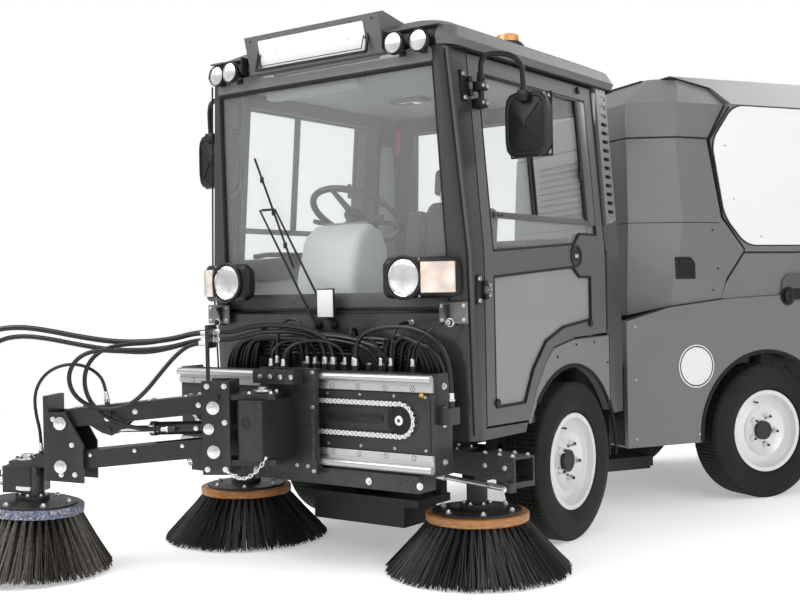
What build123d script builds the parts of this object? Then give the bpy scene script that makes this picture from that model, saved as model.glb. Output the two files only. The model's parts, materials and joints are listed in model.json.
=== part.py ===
"""Compact articulated road sweeper: cab module, hopper module and three brooms.

Each module is modelled straight, in its own axes: X to the vehicle's left, Y to its rear, Z up.
The front module's own origin is on the ground under its axle, the rear module's under the
steering pivot, and the boom's under its swing pin with X along the boom.
"""
import os
from math import atan2, cos, degrees, hypot, radians, sin, tan

from build123d import *

# ---------------------------------------------------------------- driving dimensions, mm and degrees
PIVOT_Y = 905                   # steering pivot behind the front axle
REAR_AXLE_Y = 856               # rear axle behind the steering pivot
BEND = -30.5                    # how the rear module stands turned about the pivot
BASE_X, BASE_Y = 217, 579       # the part's origin, measured in the front module

WHEEL_R = 320
TYRE_WIDTH = 190
RIM_R = 195
RIM_WIDTH = 150
TRACK_HALF = 566
HUB_R = 45
STUD_COUNT = 5
STUD_CIRCLE_R = 72
ARCH_GAP = 58                   # tyre to wheel arch
RUNNING = 0.3                   # between faces that turn or slide on each other
CLEAR = 8                       # round a door or lid
SKIN = 12                       # moulded body panels

CAB_FLOOR_Z = 480
CAB_WAIST_Z = 1150
CAB_EAVES_Z = 1886
CAB_HALF = 640
CAB_EAVES_HALF = 578
CAB_FRONT_Y = -722              # foot of the front corner posts
CAB_LEAN = 0.052                # forward run of those posts per unit of height
CAB_BACK_Y = 500
CAB_WALL = 36
ROOF_TOP_Z = 2000
DOOR_FRONT_Y = -650
DOOR_BACK_Y = 316
DOOR_FOOT_Z = 528
DOOR_TOP_Z = 1872
DOOR_THICK = 38
DOOR_RAIL = 62
GLASS = 6

FRAME_HALF = 615                # slide frame across the nose
FRAME_Y = -950
FRAME_FOOT_Z = 325
FRAME_TOP_Z = 735
BROOM_X, BROOM_Y = 577, -631
BROOM_RING_R = 188
BROOM_TIP_R = 343
BROOM_RING_Z = 187
BROOM_RING_H = 30
BROOM_LIFT_OFF = 3              # bristle tips above the ground

ARM_Z = (352, 430)              # the arm's deep plates
ARM_PIVOT = (384, -579)
ARM_TURN = -15                  # heading of the arm, from straight out to forwards
ARM_PIN_R = 14

BOOM_X, BOOM_Y = -41, -1090     # swing pin of the boom
BOOM_HEADING = 208.6            # from the vehicle's left, counter-clockwise
BOOM_PIN_S = 166                # inner link pins along the boom
BOOM_LINK = 578                 # run of a link along the boom
BOOM_DROP = 54                  # fall of a link over that run
BOOM_UPPER_Z = 613
BOOM_LINK_GAP = 158
THIRD_S = 905                   # third broom's shaft along the boom
THIRD_TILT = 4
THIRD_TIP_R = 306

REAR_HALF = 640
HOPPER_HALF = 622
HOPPER_FLOOR_Z = 1180
HOPPER_TOP_Z = 2030
HOPPER_BACK_Y = 2050
HOPPER_WALL = 16
TIP_Y, TIP_Z = 1965, 680        # hinge on which the hopper tips
SKIRT_FOOT_Z = 290
SKIRT_BACK_Y = 1996

# ---------------------------------------------------------------- places
FRONT = Location((-BASE_X, -BASE_Y, 0))
REAR = FRONT * Location((0, PIVOT_Y, 0), (0, 0, BEND))
BOOM = FRONT * Location((BOOM_X, BOOM_Y, 0), (0, 0, BOOM_HEADING))
LEFT_SIDE, RIGHT_SIDE = 1, -1

os.makedirs("parts", exist_ok=True)


def write(piece, name, place=FRONT):
    """Set the finished piece in its place and write it as one STEP file."""
    solid = place * piece.part
    solid.label = name
    export_step(solid, f"parts/{name}.step")


def block(x, y, z, mode=Mode.ADD):
    """A box that spans three (low, high) pairs, in the part being built."""
    with Locations(((x[0] + x[1]) / 2, (y[0] + y[1]) / 2, (z[0] + z[1]) / 2)):
        Box(x[1] - x[0], y[1] - y[0], z[1] - z[0], mode=mode)


def rod(start, end, radius, mode=Mode.ADD):
    """A round bar from start to end."""
    run = Vector(*end) - Vector(*start)
    with BuildSketch(Plane(origin=start, z_dir=run)) as end_face:
        Circle(radius)
    extrude(end_face.sketch, amount=run.length, mode=mode)


def side_plate(points, x, mode=Mode.ADD):
    """A plate with a (y, z) outline, spanning x."""
    with BuildSketch(Plane.YZ.offset(x[0])) as outline:
        Polygon(*points, align=None)
    extrude(outline.sketch, amount=x[1] - x[0], mode=mode)


def front_plate(points, y, mode=Mode.ADD):
    """A plate with an (x, z) outline, spanning y."""
    with BuildSketch(Plane.XZ.offset(-y[1])) as outline:
        Polygon(*points, align=None)
    extrude(outline.sketch, amount=y[1] - y[0], mode=mode)


def flat_plate(points, z, mode=Mode.ADD):
    """A plate with an (x, y) outline, spanning z."""
    with BuildSketch(Plane.XY.offset(z[0])) as outline:
        Polygon(*points, align=None)
    extrude(outline.sketch, amount=z[1] - z[0], mode=mode)


def cross_bar(centre, x, radius, mode=Mode.ADD):
    """A round bar along X at (y, z) = centre."""
    rod((x[0], *centre), (x[1], *centre), radius, mode)


def hose(radius, points):
    """A bent hose through its route's points, with the largest arcs that its runs allow."""
    bends = []
    for before, corner, after in zip(points, points[1:], points[2:]):
        run_in = Vector(*corner) - Vector(*before)
        run_out = Vector(*after) - Vector(*corner)
        turn = radians(run_in.get_angle(run_out))
        bends.append(0.45 * min(run_in.length, run_out.length) / tan(turn / 2))
    print(f"hose of {2 * radius} mm from {points[0]}: tightest bend {min(bends):.0f} mm")
    with BuildLine() as route:
        FilletPolyline(*points, radius=bends)
    with BuildSketch(Plane(origin=points[0], z_dir=Vector(*points[1]) - Vector(*points[0]))) as end_face:
        Circle(radius)
    sweep(end_face.sketch, path=route.line)


def post_y(z):
    """Front face of the cab's corner posts at height z."""
    return CAB_FRONT_Y - CAB_LEAN * (z - CAB_FLOOR_Z)


def side_x(z):
    """Outer face of the cab's side at height z."""
    rise = max(0, z - CAB_WAIST_Z) / (CAB_EAVES_Z - CAB_WAIST_Z)
    return CAB_HALF - (CAB_HALF - CAB_EAVES_HALF) * rise


# ---------------------------------------------------------------- wheels
def make_tyre():
    """Tyre about the X axis, a shell that its rim closes."""
    half = TYRE_WIDTH / 2
    bead = RIM_R - 13
    bead_x = RIM_WIDTH / 2 - 8 - RUNNING
    mid = (bead + WHEEL_R) / 2
    outer = [(-bead_x, bead), (-bead_x, RIM_R + 2), (-half, mid), (-half + 12, WHEEL_R - 14),
             (-half + 26, WHEEL_R), (half - 26, WHEEL_R), (half - 12, WHEEL_R - 14),
             (half, mid), (bead_x, RIM_R + 2), (bead_x, bead)]
    inner = [(bead_x - 14, bead), (half - 15, mid), (half - 30, WHEEL_R - 18),
             (-half + 30, WHEEL_R - 18), (-half + 15, mid), (-bead_x + 14, bead)]
    with BuildPart() as tyre:
        with BuildSketch(Plane.XZ):
            Polygon(*outer, *inner, align=None)
        revolve(axis=Axis.X)
    return tyre


def make_rim():
    """Pressed steel rim about the X axis, its outer side to +X."""
    half = RIM_WIDTH / 2
    seat = RIM_R - 13 - RUNNING
    barrel = [(-half, RIM_R), (-half, seat - 5), (-half + 30, seat - 5), (-half + 42, seat - 18),
              (half - 48, seat - 18), (half - 30, seat - 6), (half, seat - 6), (half, RIM_R),
              (half - 6, RIM_R), (half - 8, seat), (half - 28, seat), (half - 46, seat - 12),
              (-half + 40, seat - 12), (-half + 28, seat), (-half + 8, seat), (-half + 6, RIM_R)]
    disc_x = half - 38
    disc = [(disc_x, HUB_R), (disc_x, STUD_CIRCLE_R + 22), (disc_x + 14, STUD_CIRCLE_R + 50),
            (disc_x + 2, seat - 8), (disc_x - 6, seat - 8), (disc_x + 6, STUD_CIRCLE_R + 50),
            (disc_x - 8, STUD_CIRCLE_R + 22), (disc_x - 8, HUB_R)]
    with BuildPart() as rim:
        with BuildSketch(Plane.XZ):
            Polygon(*barrel, align=None)
            Polygon(*disc, align=None)
        revolve(axis=Axis.X)
        with BuildSketch(Plane.YZ.offset(disc_x)):
            with PolarLocations(STUD_CIRCLE_R, STUD_COUNT):
                RegularPolygon(10, 6)
        extrude(amount=16)
    return rim


WHEELS = [  # name, place of its module, side, axle's y
    ("front_left", FRONT, LEFT_SIDE, 0),
    ("front_right", FRONT, RIGHT_SIDE, 0),
    ("rear_left", REAR, LEFT_SIDE, REAR_AXLE_Y),
    ("rear_right", REAR, RIGHT_SIDE, REAR_AXLE_Y),
]
tyre = make_tyre()
rim = make_rim()
for name, module, side, axle_y in WHEELS:
    turn = 0 if side == LEFT_SIDE else 180
    place = module * Location((side * TRACK_HALF, axle_y, WHEEL_R), (0, 0, turn))
    write(tyre, f"tyre_{name}", place)
    write(rim, f"rim_{name}", place)

DISC_IN_X = TRACK_HALF + RIM_WIDTH / 2 - 38 - 8     # inner face of a wheel's disc


def axle(y):
    """Rigid axle beam with a hub at each end, in the part being built."""
    hub_face = DISC_IN_X - RUNNING
    cross_bar((y, WHEEL_R), (-hub_face, hub_face), 42)
    for side in (LEFT_SIDE, RIGHT_SIDE):
        cross_bar((y, WHEEL_R), (side * (hub_face - 70), side * hub_face), 92)
        cross_bar((y, WHEEL_R), (side * hub_face, side * (hub_face + 26)), HUB_R - RUNNING)


# ---------------------------------------------------------------- front module: chassis
BEAM_X = 250
BEAM_Z = (395, CAB_FLOOR_Z)
LUG_Z = [(300, 340), (620, 660)]        # the pivot fork's two lugs
with BuildPart() as front_chassis:
    for side in (LEFT_SIDE, RIGHT_SIDE):
        block(sorted((side * BEAM_X, side * (BEAM_X + 60))), (FRAME_Y + 110, 640), BEAM_Z)
    for y in (-640, -60, 300, 560):
        block((-BEAM_X - 60, BEAM_X + 60), (y, y + 80), BEAM_Z)
    axle(0)
    for side in (LEFT_SIDE, RIGHT_SIDE):
        block(sorted((side * BEAM_X, side * (BEAM_X + 60))), (-45, 45), (WHEEL_R, BEAM_Z[0]))
    for side in (LEFT_SIDE, RIGHT_SIDE):
        block(sorted((side * BEAM_X, side * (ARM_PIVOT[0] + 30))), (ARM_PIVOT[1] - 30, ARM_PIVOT[1] + 30),
              (ARM_Z[1] + 8 + RUNNING, BEAM_Z[1] - 10))
        rod((side * ARM_PIVOT[0], ARM_PIVOT[1], ARM_Z[0] - 6), (side * ARM_PIVOT[0], ARM_PIVOT[1], BEAM_Z[1] - 10),
            ARM_PIN_R)
    block((-120, 120), (560, 720), (300, 660))
    for z in LUG_Z:
        block((-70, 70), (700, PIVOT_Y), z)
        with BuildSketch(Plane.XY.offset(z[0])):
            with Locations((0, PIVOT_Y)):
                Circle(70)
        extrude(amount=z[1] - z[0])
    rod((0, PIVOT_Y, LUG_Z[0][0] - 10), (0, PIVOT_Y, LUG_Z[1][1] + 10), 30)
write(front_chassis, "front_chassis")

# ---------------------------------------------------------------- front module: cab
ARCH_R = WHEEL_R + ARCH_GAP + 20
HOUSE_X = TRACK_HALF - TYRE_WIDTH / 2 - 16      # inner wall of a wheel house
FENDER_IN_X = CAB_HALF - CAB_WALL - 4
FENDER_BACK_Y = 345
FENDER_TOP_Z = 812
with BuildPart() as cab_tub:
    block((-HOUSE_X, HOUSE_X), (CAB_FRONT_Y + 44, CAB_BACK_Y - 44), (CAB_FLOOR_Z, CAB_FLOOR_Z + 20))
    for side in (LEFT_SIDE, RIGHT_SIDE):
        with BuildSketch(Plane.YZ.offset(side * HOUSE_X)):
            with Locations((0, WHEEL_R)):
                Circle(ARCH_R + SKIN)
                Circle(ARCH_R, mode=Mode.SUBTRACT)
            with Locations((0, CAB_FLOOR_Z + 500)):
                Rectangle(2 * ARCH_R + 100, 1000, mode=Mode.INTERSECT)
        extrude(amount=side * (FENDER_IN_X - HOUSE_X))
        with BuildSketch(Plane.YZ.offset(side * HOUSE_X)):
            with Locations((0, WHEEL_R)):
                Circle(ARCH_R + SKIN)
            with Locations((0, CAB_FLOOR_Z + 500)):
                Rectangle(2 * ARCH_R + 100, 1000, mode=Mode.INTERSECT)
        extrude(amount=-side * SKIN)
write(cab_tub, "cab_tub")

DOOR_ARCH = [  # lower edge of a door over the wheel: y, z
    (-352, DOOR_FOOT_Z - 6), (-292, 640), (-206, 748), (-150, 790), (30, FENDER_TOP_Z + CLEAR),
    (DOOR_BACK_Y, FENDER_TOP_Z + CLEAR + 8)]
DOOR_OUTLINE = [(DOOR_FRONT_Y, DOOR_FOOT_Z), *DOOR_ARCH, (DOOR_BACK_Y, DOOR_TOP_Z), (DOOR_FRONT_Y, DOOR_TOP_Z)]


def side_band(depth, thick, side=LEFT_SIDE):
    """A layer of the cab's side, depth inside its outer face."""
    heights = (CAB_FLOOR_Z - 10, CAB_WAIST_Z, CAB_EAVES_Z + 10)
    outer = [(side * (side_x(z) - depth), z) for z in heights]
    inner = [(side * (side_x(z) - depth - thick), z) for z in reversed(heights)]
    front_plate(outer + inner, (-950, 600))


def grown(points, amount):
    """The outline moved outwards by amount."""
    return offset(Polygon(*points, align=None, mode=Mode.PRIVATE), amount, kind=Kind.INTERSECTION,
                  mode=Mode.PRIVATE)


HINGE_Y = DOOR_FRONT_Y - 14
HINGE_Z = [1017, 1750]
HINGE_R = 9
HINGE_PIN_R = 5


def hinge_x(z):
    """The doors' hinge line at height z: it leans inwards with the cab's sides."""
    low_x, high_x = (side_x(level) + HINGE_R + 3 for level in HINGE_Z)
    return low_x + (high_x - low_x) * (z - HINGE_Z[0]) / (HINGE_Z[1] - HINGE_Z[0])


def hinge_rod(side, low_z, high_z, radius, mode=Mode.ADD):
    """A round bar on a door's hinge line."""
    rod((side * hinge_x(low_z), HINGE_Y, low_z), (side * hinge_x(high_z), HINGE_Y, high_z), radius, mode)


CAB_LEVELS = [CAB_FLOOR_Z, CAB_WAIST_Z, CAB_EAVES_Z]


def cab_loft(inset, mode=Mode.ADD):
    """The cab's body between floor and eaves, drawn in by inset."""
    sections = []
    for z in CAB_LEVELS:
        half = side_x(z) - inset
        front = post_y(z) + inset
        back = CAB_BACK_Y - inset
        with BuildSketch(Plane.XY.offset(z)) as section:
            with Locations((0, (front + back) / 2)):
                RectangleRounded(2 * half, back - front, 45 - inset)
        sections.append(section.sketch)
    loft(sections, ruled=True, mode=mode)


with BuildPart() as cab_frame:
    cab_loft(0)
    cab_loft(CAB_WALL, Mode.SUBTRACT)
    # door openings
    for side in (LEFT_SIDE, RIGHT_SIDE):
        with BuildSketch(Plane.YZ):
            add(grown(DOOR_OUTLINE, CLEAR))
        extrude(amount=side * 900, mode=Mode.SUBTRACT)
        # wheel house and fender below the door
        with BuildSketch(Plane.YZ):
            with Locations((0, WHEEL_R)):
                Circle(ARCH_R + SKIN)
            Polygon((-352, 300), *DOOR_ARCH[:-1], (FENDER_BACK_Y, FENDER_TOP_Z + CLEAR), (FENDER_BACK_Y, 300),
                    align=None)
        extrude(amount=side * 900, mode=Mode.SUBTRACT)
    # windscreen and rear window
    front_plate([(-556, 940), (556, 940), (528, CAB_EAVES_Z - 60), (-528, CAB_EAVES_Z - 60)], (-950, -600),
                Mode.SUBTRACT)
    front_plate([(-470, 1240), (470, 1240), (455, CAB_EAVES_Z - 90), (-455, CAB_EAVES_Z - 90)], (400, 600),
                Mode.SUBTRACT)
write(cab_frame, "cab_frame")

VENT = [(332, 1287), (428, 1310), (440, 1880), (346, 1890)]     # louvre strip behind the door: y, z
VENT_PROUD = 14
with BuildPart() as cab_vents:
    for side in (LEFT_SIDE, RIGHT_SIDE):
        side_band(-VENT_PROUD, VENT_PROUD - RUNNING, side)
    for side in (LEFT_SIDE, RIGHT_SIDE):
        with BuildSketch(Plane.YZ):
            Rectangle(4000, 6000)
            Polygon(*VENT, align=None, mode=Mode.SUBTRACT)
        extrude(amount=side * 900, mode=Mode.SUBTRACT)
        for step in range(14):
            z = 1345 + 38 * step
            y = 386 + 16 * step / 13
            with BuildSketch(Plane.YZ):
                with Locations((y, z)):
                    RectangleRounded(56, 16, 7)
            extrude(amount=side * 900, mode=Mode.SUBTRACT)
write(cab_vents, "cab_vents")

with BuildPart() as door_hinges:
    for side in (LEFT_SIDE, RIGHT_SIDE):
        for z in HINGE_Z:
            hinge_rod(side, z - 34, z + 34, HINGE_PIN_R)
            for low_z in (z - 34, z + 14):
                face_x = side_x(low_z)
                block(sorted((side * face_x, side * (face_x + 6))), (HINGE_Y - 46, HINGE_Y), (low_z, low_z + 20))
                hinge_rod(side, low_z, low_z + 20, HINGE_R)
write(door_hinges, "door_hinges")

with BuildPart() as cab_glass:
    screen = [(-556, 940), (556, 940), (528, CAB_EAVES_Z - 60), (-528, CAB_EAVES_Z - 60)]
    side_plate([(post_y(CAB_FLOOR_Z) + 12, CAB_FLOOR_Z), (post_y(CAB_EAVES_Z) + 12, CAB_EAVES_Z),
                (post_y(CAB_EAVES_Z) + 12 + GLASS, CAB_EAVES_Z), (post_y(CAB_FLOOR_Z) + 12 + GLASS, CAB_FLOOR_Z)],
               (-600, 600))
    front_plate(screen, (-950, -600), Mode.INTERSECT)
    front_plate([(-470, 1240), (470, 1240), (455, CAB_EAVES_Z - 90), (-455, CAB_EAVES_Z - 90)],
                (CAB_BACK_Y - 20, CAB_BACK_Y - 20 + GLASS))
write(cab_glass, "cab_glass")

# roof: a moulded shell with a raised visor over the windscreen
EAVES_FRONT_Y = post_y(CAB_EAVES_Z)
ROOF_BACK_Y = 540
ROOF_LEVELS = [  # z, half width, front y, back y, corner radius
    (CAB_EAVES_Z, 600, EAVES_FRONT_Y - 10, ROOF_BACK_Y - 8, 60),
    (CAB_EAVES_Z + 26, 610, EAVES_FRONT_Y - 18, ROOF_BACK_Y, 66),
    (CAB_EAVES_Z + 72, 590, EAVES_FRONT_Y - 2, ROOF_BACK_Y - 18, 80),
    (ROOF_TOP_Z, 500, EAVES_FRONT_Y + 70, ROOF_BACK_Y - 110, 90),
]


def roof_loft(inset, mode=Mode.ADD):
    """The roof's stack of rounded sections, drawn in by inset."""
    sections = []
    for z, half, front, back, corner in ROOF_LEVELS:
        with BuildSketch(Plane.XY.offset(z - inset)) as section:
            with Locations((0, (front + back) / 2)):
                RectangleRounded(2 * (half - inset), back - front - 2 * inset, corner - inset)
        sections.append(section.sketch)
    loft(sections, ruled=True, mode=mode)


PLATE_Y, PLATE_Z, PLATE_TILT = -832, 1952, 14
VISOR_TOP_Z = 2026


def visor_y(z):
    """The visor's leaning front face."""
    return PLATE_Y - tan(radians(PLATE_TILT)) * (z - PLATE_Z)


VISOR_FRONT = [  # y, z of the visor's side outline
    (visor_y(CAB_EAVES_Z), CAB_EAVES_Z), (visor_y(VISOR_TOP_Z), VISOR_TOP_Z), (PLATE_Y + 14, VISOR_TOP_Z + 10),
    (PLATE_Y + 230, ROOF_TOP_Z - 4), (PLATE_Y + 230, CAB_EAVES_Z)]
ROOF_LAMPS = [(498, -826, 1901), (404, -848, 1901)]     # x, y, z of each pair's lenses
LAMP_POCKET = ((350, 552), 1956, -780)      # x span, top z and back y of the recess that holds a pair
with BuildPart() as cab_roof:
    roof_loft(0)
    side_plate(VISOR_FRONT, (-330, 330))
    roof_loft(SKIN, Mode.SUBTRACT)
    for side in (LEFT_SIDE, RIGHT_SIDE):
        (near_x, far_x), top_z, back_y = LAMP_POCKET
        block(sorted((side * near_x, side * far_x)), (-900, back_y), (CAB_EAVES_Z - 1, top_z), Mode.SUBTRACT)
        block(sorted((side * (near_x - SKIN), side * (far_x + SKIN))), (back_y, back_y + SKIN), (CAB_EAVES_Z, top_z))
        block(sorted((side * (near_x - SKIN), side * (far_x + SKIN))), (back_y - 26, back_y + SKIN),
              (top_z, top_z + 6))
write(cab_roof, "cab_roof")

PLATE_W, PLATE_H = 520, 110
plate_plane = Plane(origin=(0, PLATE_Y, PLATE_Z), x_dir=(1, 0, 0),
                    z_dir=(0, -cos(radians(PLATE_TILT)), -sin(radians(PLATE_TILT))))
with BuildPart() as number_plate:
    with BuildSketch(plate_plane):
        RectangleRounded(PLATE_W, PLATE_H, 8)
    extrude(amount=4)
write(number_plate, "number_plate")

# front fenders: skin below the door round the wheel arch
with BuildPart() as front_fenders:
    for side in (LEFT_SIDE, RIGHT_SIDE):
        with BuildSketch(Plane.YZ.offset(side * FENDER_IN_X)):
            Polygon((-352, SKIRT_FOOT_Z + 222), (-284, 634), (-200, 742), (-146, 783), (30, FENDER_TOP_Z - 1),
                    (FENDER_BACK_Y - 2, FENDER_TOP_Z + 5), (FENDER_BACK_Y - 2, SKIRT_FOOT_Z),
                    (0, SKIRT_FOOT_Z), align=None)
            with Locations((0, WHEEL_R)):
                Circle(ARCH_R - 14, mode=Mode.SUBTRACT)
        extrude(amount=side * (CAB_HALF - FENDER_IN_X))
write(front_fenders, "front_fenders")

# seat and console
DRIVER_X = -120
with BuildPart() as driver_seat:
    block((DRIVER_X - 190, DRIVER_X + 190), (-100, 210), (CAB_FLOOR_Z + 20, 760))
    block((DRIVER_X - 240, DRIVER_X + 240), (-220, 250), (760, 900))
    side_plate([(170, 860), (330, 860), (370, 1480), (270, 1480)], (DRIVER_X - 230, DRIVER_X + 230))
    side_plate([(285, 1480), (365, 1480), (375, 1640), (315, 1640)], (DRIVER_X - 120, DRIVER_X + 120))
write(driver_seat, "driver_seat")

WHEEL_CENTRE = (-425, 1330)
with BuildPart() as steering_console:
    side_plate([(-640, CAB_FLOOR_Z + 20), (-470, CAB_FLOOR_Z + 20), (-470, 900), (-430, 1180), (-500, 1290),
                (-600, 1290), (-690, 1080)], (DRIVER_X - 110, DRIVER_X + 190))
    rod((DRIVER_X, -500, 1240), (DRIVER_X, *WHEEL_CENTRE), 28)
    wheel_plane = Plane(origin=(DRIVER_X, *WHEEL_CENTRE), z_dir=(0, 0.6, 1))
    with BuildSketch(wheel_plane):
        Circle(195)
        Circle(170, mode=Mode.SUBTRACT)
        with PolarLocations(0, 3, start_angle=30):
            with Locations((92, 0)):
                Rectangle(184, 26)
        Circle(52)
    extrude(amount=22)
write(steering_console, "steering_console")

# ---------------------------------------------------------------- doors
WINDOW_TOP_Z = DOOR_TOP_Z - DOOR_RAIL
WAIST_Z = (1066, 1159)          # the rail between a door's two panes, at its front end
WAIST_RISE = 40                 # what it rises towards the lock
WINDOW_OUTLINES = [  # the glazed openings of a door: upper and lower
    [(DOOR_FRONT_Y + DOOR_RAIL, WAIST_Z[1]), (DOOR_FRONT_Y + DOOR_RAIL, WINDOW_TOP_Z),
     (DOOR_BACK_Y - DOOR_RAIL, WINDOW_TOP_Z), (DOOR_BACK_Y - DOOR_RAIL, WAIST_Z[1] + WAIST_RISE + 42),
     (100, WAIST_Z[1] + WAIST_RISE + 42), (50, WAIST_Z[1] + WAIST_RISE)],
    [(DOOR_FRONT_Y + DOOR_RAIL, 590), (DOOR_FRONT_Y + DOOR_RAIL, WAIST_Z[0]), (25, WAIST_Z[0] + WAIST_RISE),
     (85, WAIST_Z[0]), (180, WAIST_Z[0]), (180, 888), (-60, 864), (-204, 814), (-308, 712), (-374, 590)]]


for side, word in ((LEFT_SIDE, "left"), (RIGHT_SIDE, "right")):
    with BuildPart() as door:
        side_band(0, DOOR_THICK, side)
        with BuildSketch(Plane.YZ):
            Polygon(*DOOR_OUTLINE, align=None)
        extrude(amount=side * 900, mode=Mode.INTERSECT)
        for outline in WINDOW_OUTLINES:
            with BuildSketch(Plane.YZ):
                Polygon(*outline, align=None)
            extrude(amount=side * 900, mode=Mode.SUBTRACT)
        for z in HINGE_Z:
            face_x = side_x(z)
            block(sorted((side * (face_x - 4), side * (face_x + 6))), (DOOR_FRONT_Y + 2, HINGE_Y + 52), (z - 11, z + 11))
            block(sorted((side * (face_x + 1), side * (face_x + 6))), (HINGE_Y, HINGE_Y + 52), (z - 11, z + 11))
            hinge_rod(side, z - 12, z + 12, HINGE_R)
            hinge_rod(side, z - 40, z + 40, HINGE_PIN_R + RUNNING, Mode.SUBTRACT)
    write(door, f"door_{word}")
    with BuildPart() as glass:
        side_band(10, GLASS, side)
        with BuildSketch(Plane.YZ):
            for outline in WINDOW_OUTLINES:
                Polygon(*outline, align=None)
        extrude(amount=side * 900, mode=Mode.INTERSECT)
    write(glass, f"door_glass_{word}")
    mirror_x = side * 760
    with BuildPart() as mirror_piece:
        with BuildSketch(Plane.XZ.offset(556)):
            with Locations((mirror_x, 1610)):
                RectangleRounded(176, 236, 26)
        extrude(amount=-52)
        base_x = side_x(1660) + 0.2
        block(sorted((side * base_x, side * (base_x + 40))), (-646, -606), (1660, 1760))
        rod((side * (base_x + 30), -626, 1700), (side * (base_x + 30), -626, 1830), 10)
        rod((side * (base_x + 30), -626, 1825), (mirror_x, -560, 1825), 10)
        rod((mirror_x, -560, 1832), (mirror_x, -560, 1640), 10)
    write(mirror_piece, f"mirror_{word}")

# ---------------------------------------------------------------- lamps, beacon, wipers
HEAD_X = (320, 630)
HEAD_Z = (985, 1147)
HEAD_Y = (-862, -780)
BEACON = (440, -120)
COUPLING = (575, -790, 905)     # face of a hose coupling under each head lamp
with BuildPart() as lamp_housings:
    for side in (LEFT_SIDE, RIGHT_SIDE):
        block(sorted((side * HEAD_X[0], side * HEAD_X[1])), HEAD_Y, HEAD_Z)
        rod((side * 560, HEAD_Y[1], 1060), (side * 560, post_y(1082), 1060), 22)
        rod((side * COUPLING[0], *COUPLING[1:]), (side * COUPLING[0], post_y(COUPLING[2] + 12), COUPLING[2]), 12)
        for x, y, z in ROOF_LAMPS:
            rod((side * x, y - 8, z), (side * x, y + 12, z), 42)
            rod((side * x, y + 12, z), (side * x, LAMP_POCKET[2], z), 14)
write(lamp_housings, "lamp_housings")

with BuildPart() as lamp_lenses:
    for side in (LEFT_SIDE, RIGHT_SIDE):
        rod((side * 440, HEAD_Y[0] - 14, 1066), (side * 440, HEAD_Y[0], 1066), 66)
        block(sorted((side * 520, side * 620)), (HEAD_Y[0] - 10, HEAD_Y[0]), (1010, 1122))
        for x, y, z in ROOF_LAMPS:
            rod((side * x, y - 18, z), (side * x, y - 8, z), 38)
    rod((BEACON[0], BEACON[1], ROOF_TOP_Z), (BEACON[0], BEACON[1], ROOF_TOP_Z + 50), 58)
write(lamp_lenses, "lamp_lenses")

with BuildPart() as wipers:
    for x in (-60, 20):
        rod((x, post_y(895) - 26, 895 - 26 * CAB_LEAN), (x, post_y(895), 895), 16)
        rod((x, post_y(895) - 18, 895), (x - 290, post_y(1400) - 18, 1400), 7)
write(wipers, "wipers")

# ---------------------------------------------------------------- routes of the free hoses
# Each is its radius and its points. The frame's and the carriage's are in the front module's axes.
SHELF_Z = 752                   # top of the ports on the shelf behind the slide frame
FRAME_HOSES = [
    (8, [(240, -902, SHELF_Z + RUNNING), (240, -902, 812), (266, -903, 862), (336, -905, 888), (430, -905, 896),
         (525, -903, 886), (FRAME_HALF - 15, -900, 848), (FRAME_HALF + 25, -896, 785), (FRAME_HALF + 33, -892, 710),
         (FRAME_HALF + 33, -892, 640 + RUNNING)]),
    (5.5, [(205, -868, SHELF_Z + RUNNING), (205, -868, 800), (230, -872, 842), (268, -874, 854), (305, -872, 842),
           (330, -868, 800), (330, -868, SHELF_Z + RUNNING)]),
    (5.5, [(375, -868, SHELF_Z + RUNNING), (375, -868, 800), (380, -862, 856), (384, -834, 898), (386, -792, 905),
           (386, -744.9, 905)]),
    (6, [(-170, -868, SHELF_Z + RUNNING), (-170, -868, 806), (-164, -868, 862), (-138, -868, 908), (-92, -868, 926),
         (-46, -868, 908), (-22, -868, 862), (-16, -868, 806), (-16, -868, SHELF_Z + RUNNING)]),
    (5.5, [(575, -790 - RUNNING, 905), (575, -836, 905), (550, -870, 880), (506, -880, 842), (470, -868, 800),
           (470, -868, SHELF_Z + RUNNING)]),
]
MANIFOLD_Z = 754                # top of the ports on the carriage's manifold
CARRIAGE_HOSES = [
    (10, [(110, -868, SHELF_Z + RUNNING), (110, -868, 806), (86, -894, 858), (30, -952, 893), (-36, -1024, 906),
          (-92, -1088, 902), (-139.9, -1144, 883), (-201.4, -1177.5, 883)]),
    (9, [(70, -868, SHELF_Z + RUNNING), (70, -868, 806), (52, -890, 852), (14, -936, 872), (-30, -996, 880),
         (-72, -1058, 880), (-106, -1106, 868), (-139.9, -1144, 855), (-201.4, -1177.5, 855)]),
    (5.5, [(-60, -1022, MANIFOLD_Z + RUNNING), (-60, -1022, 798), (-44, -998, 834), (-10, -958, 846), (14, -912, 832),
           (20, -868, 800), (20, -868, SHELF_Z + RUNNING)]),
    (5.5, [(0, -1022, MANIFOLD_Z + RUNNING), (0, -1022, 796), (26, -1000, 832), (80, -960, 848), (132, -908, 836),
           (165, -868, 800), (165, -868, SHELF_Z + RUNNING)]),
]
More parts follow.
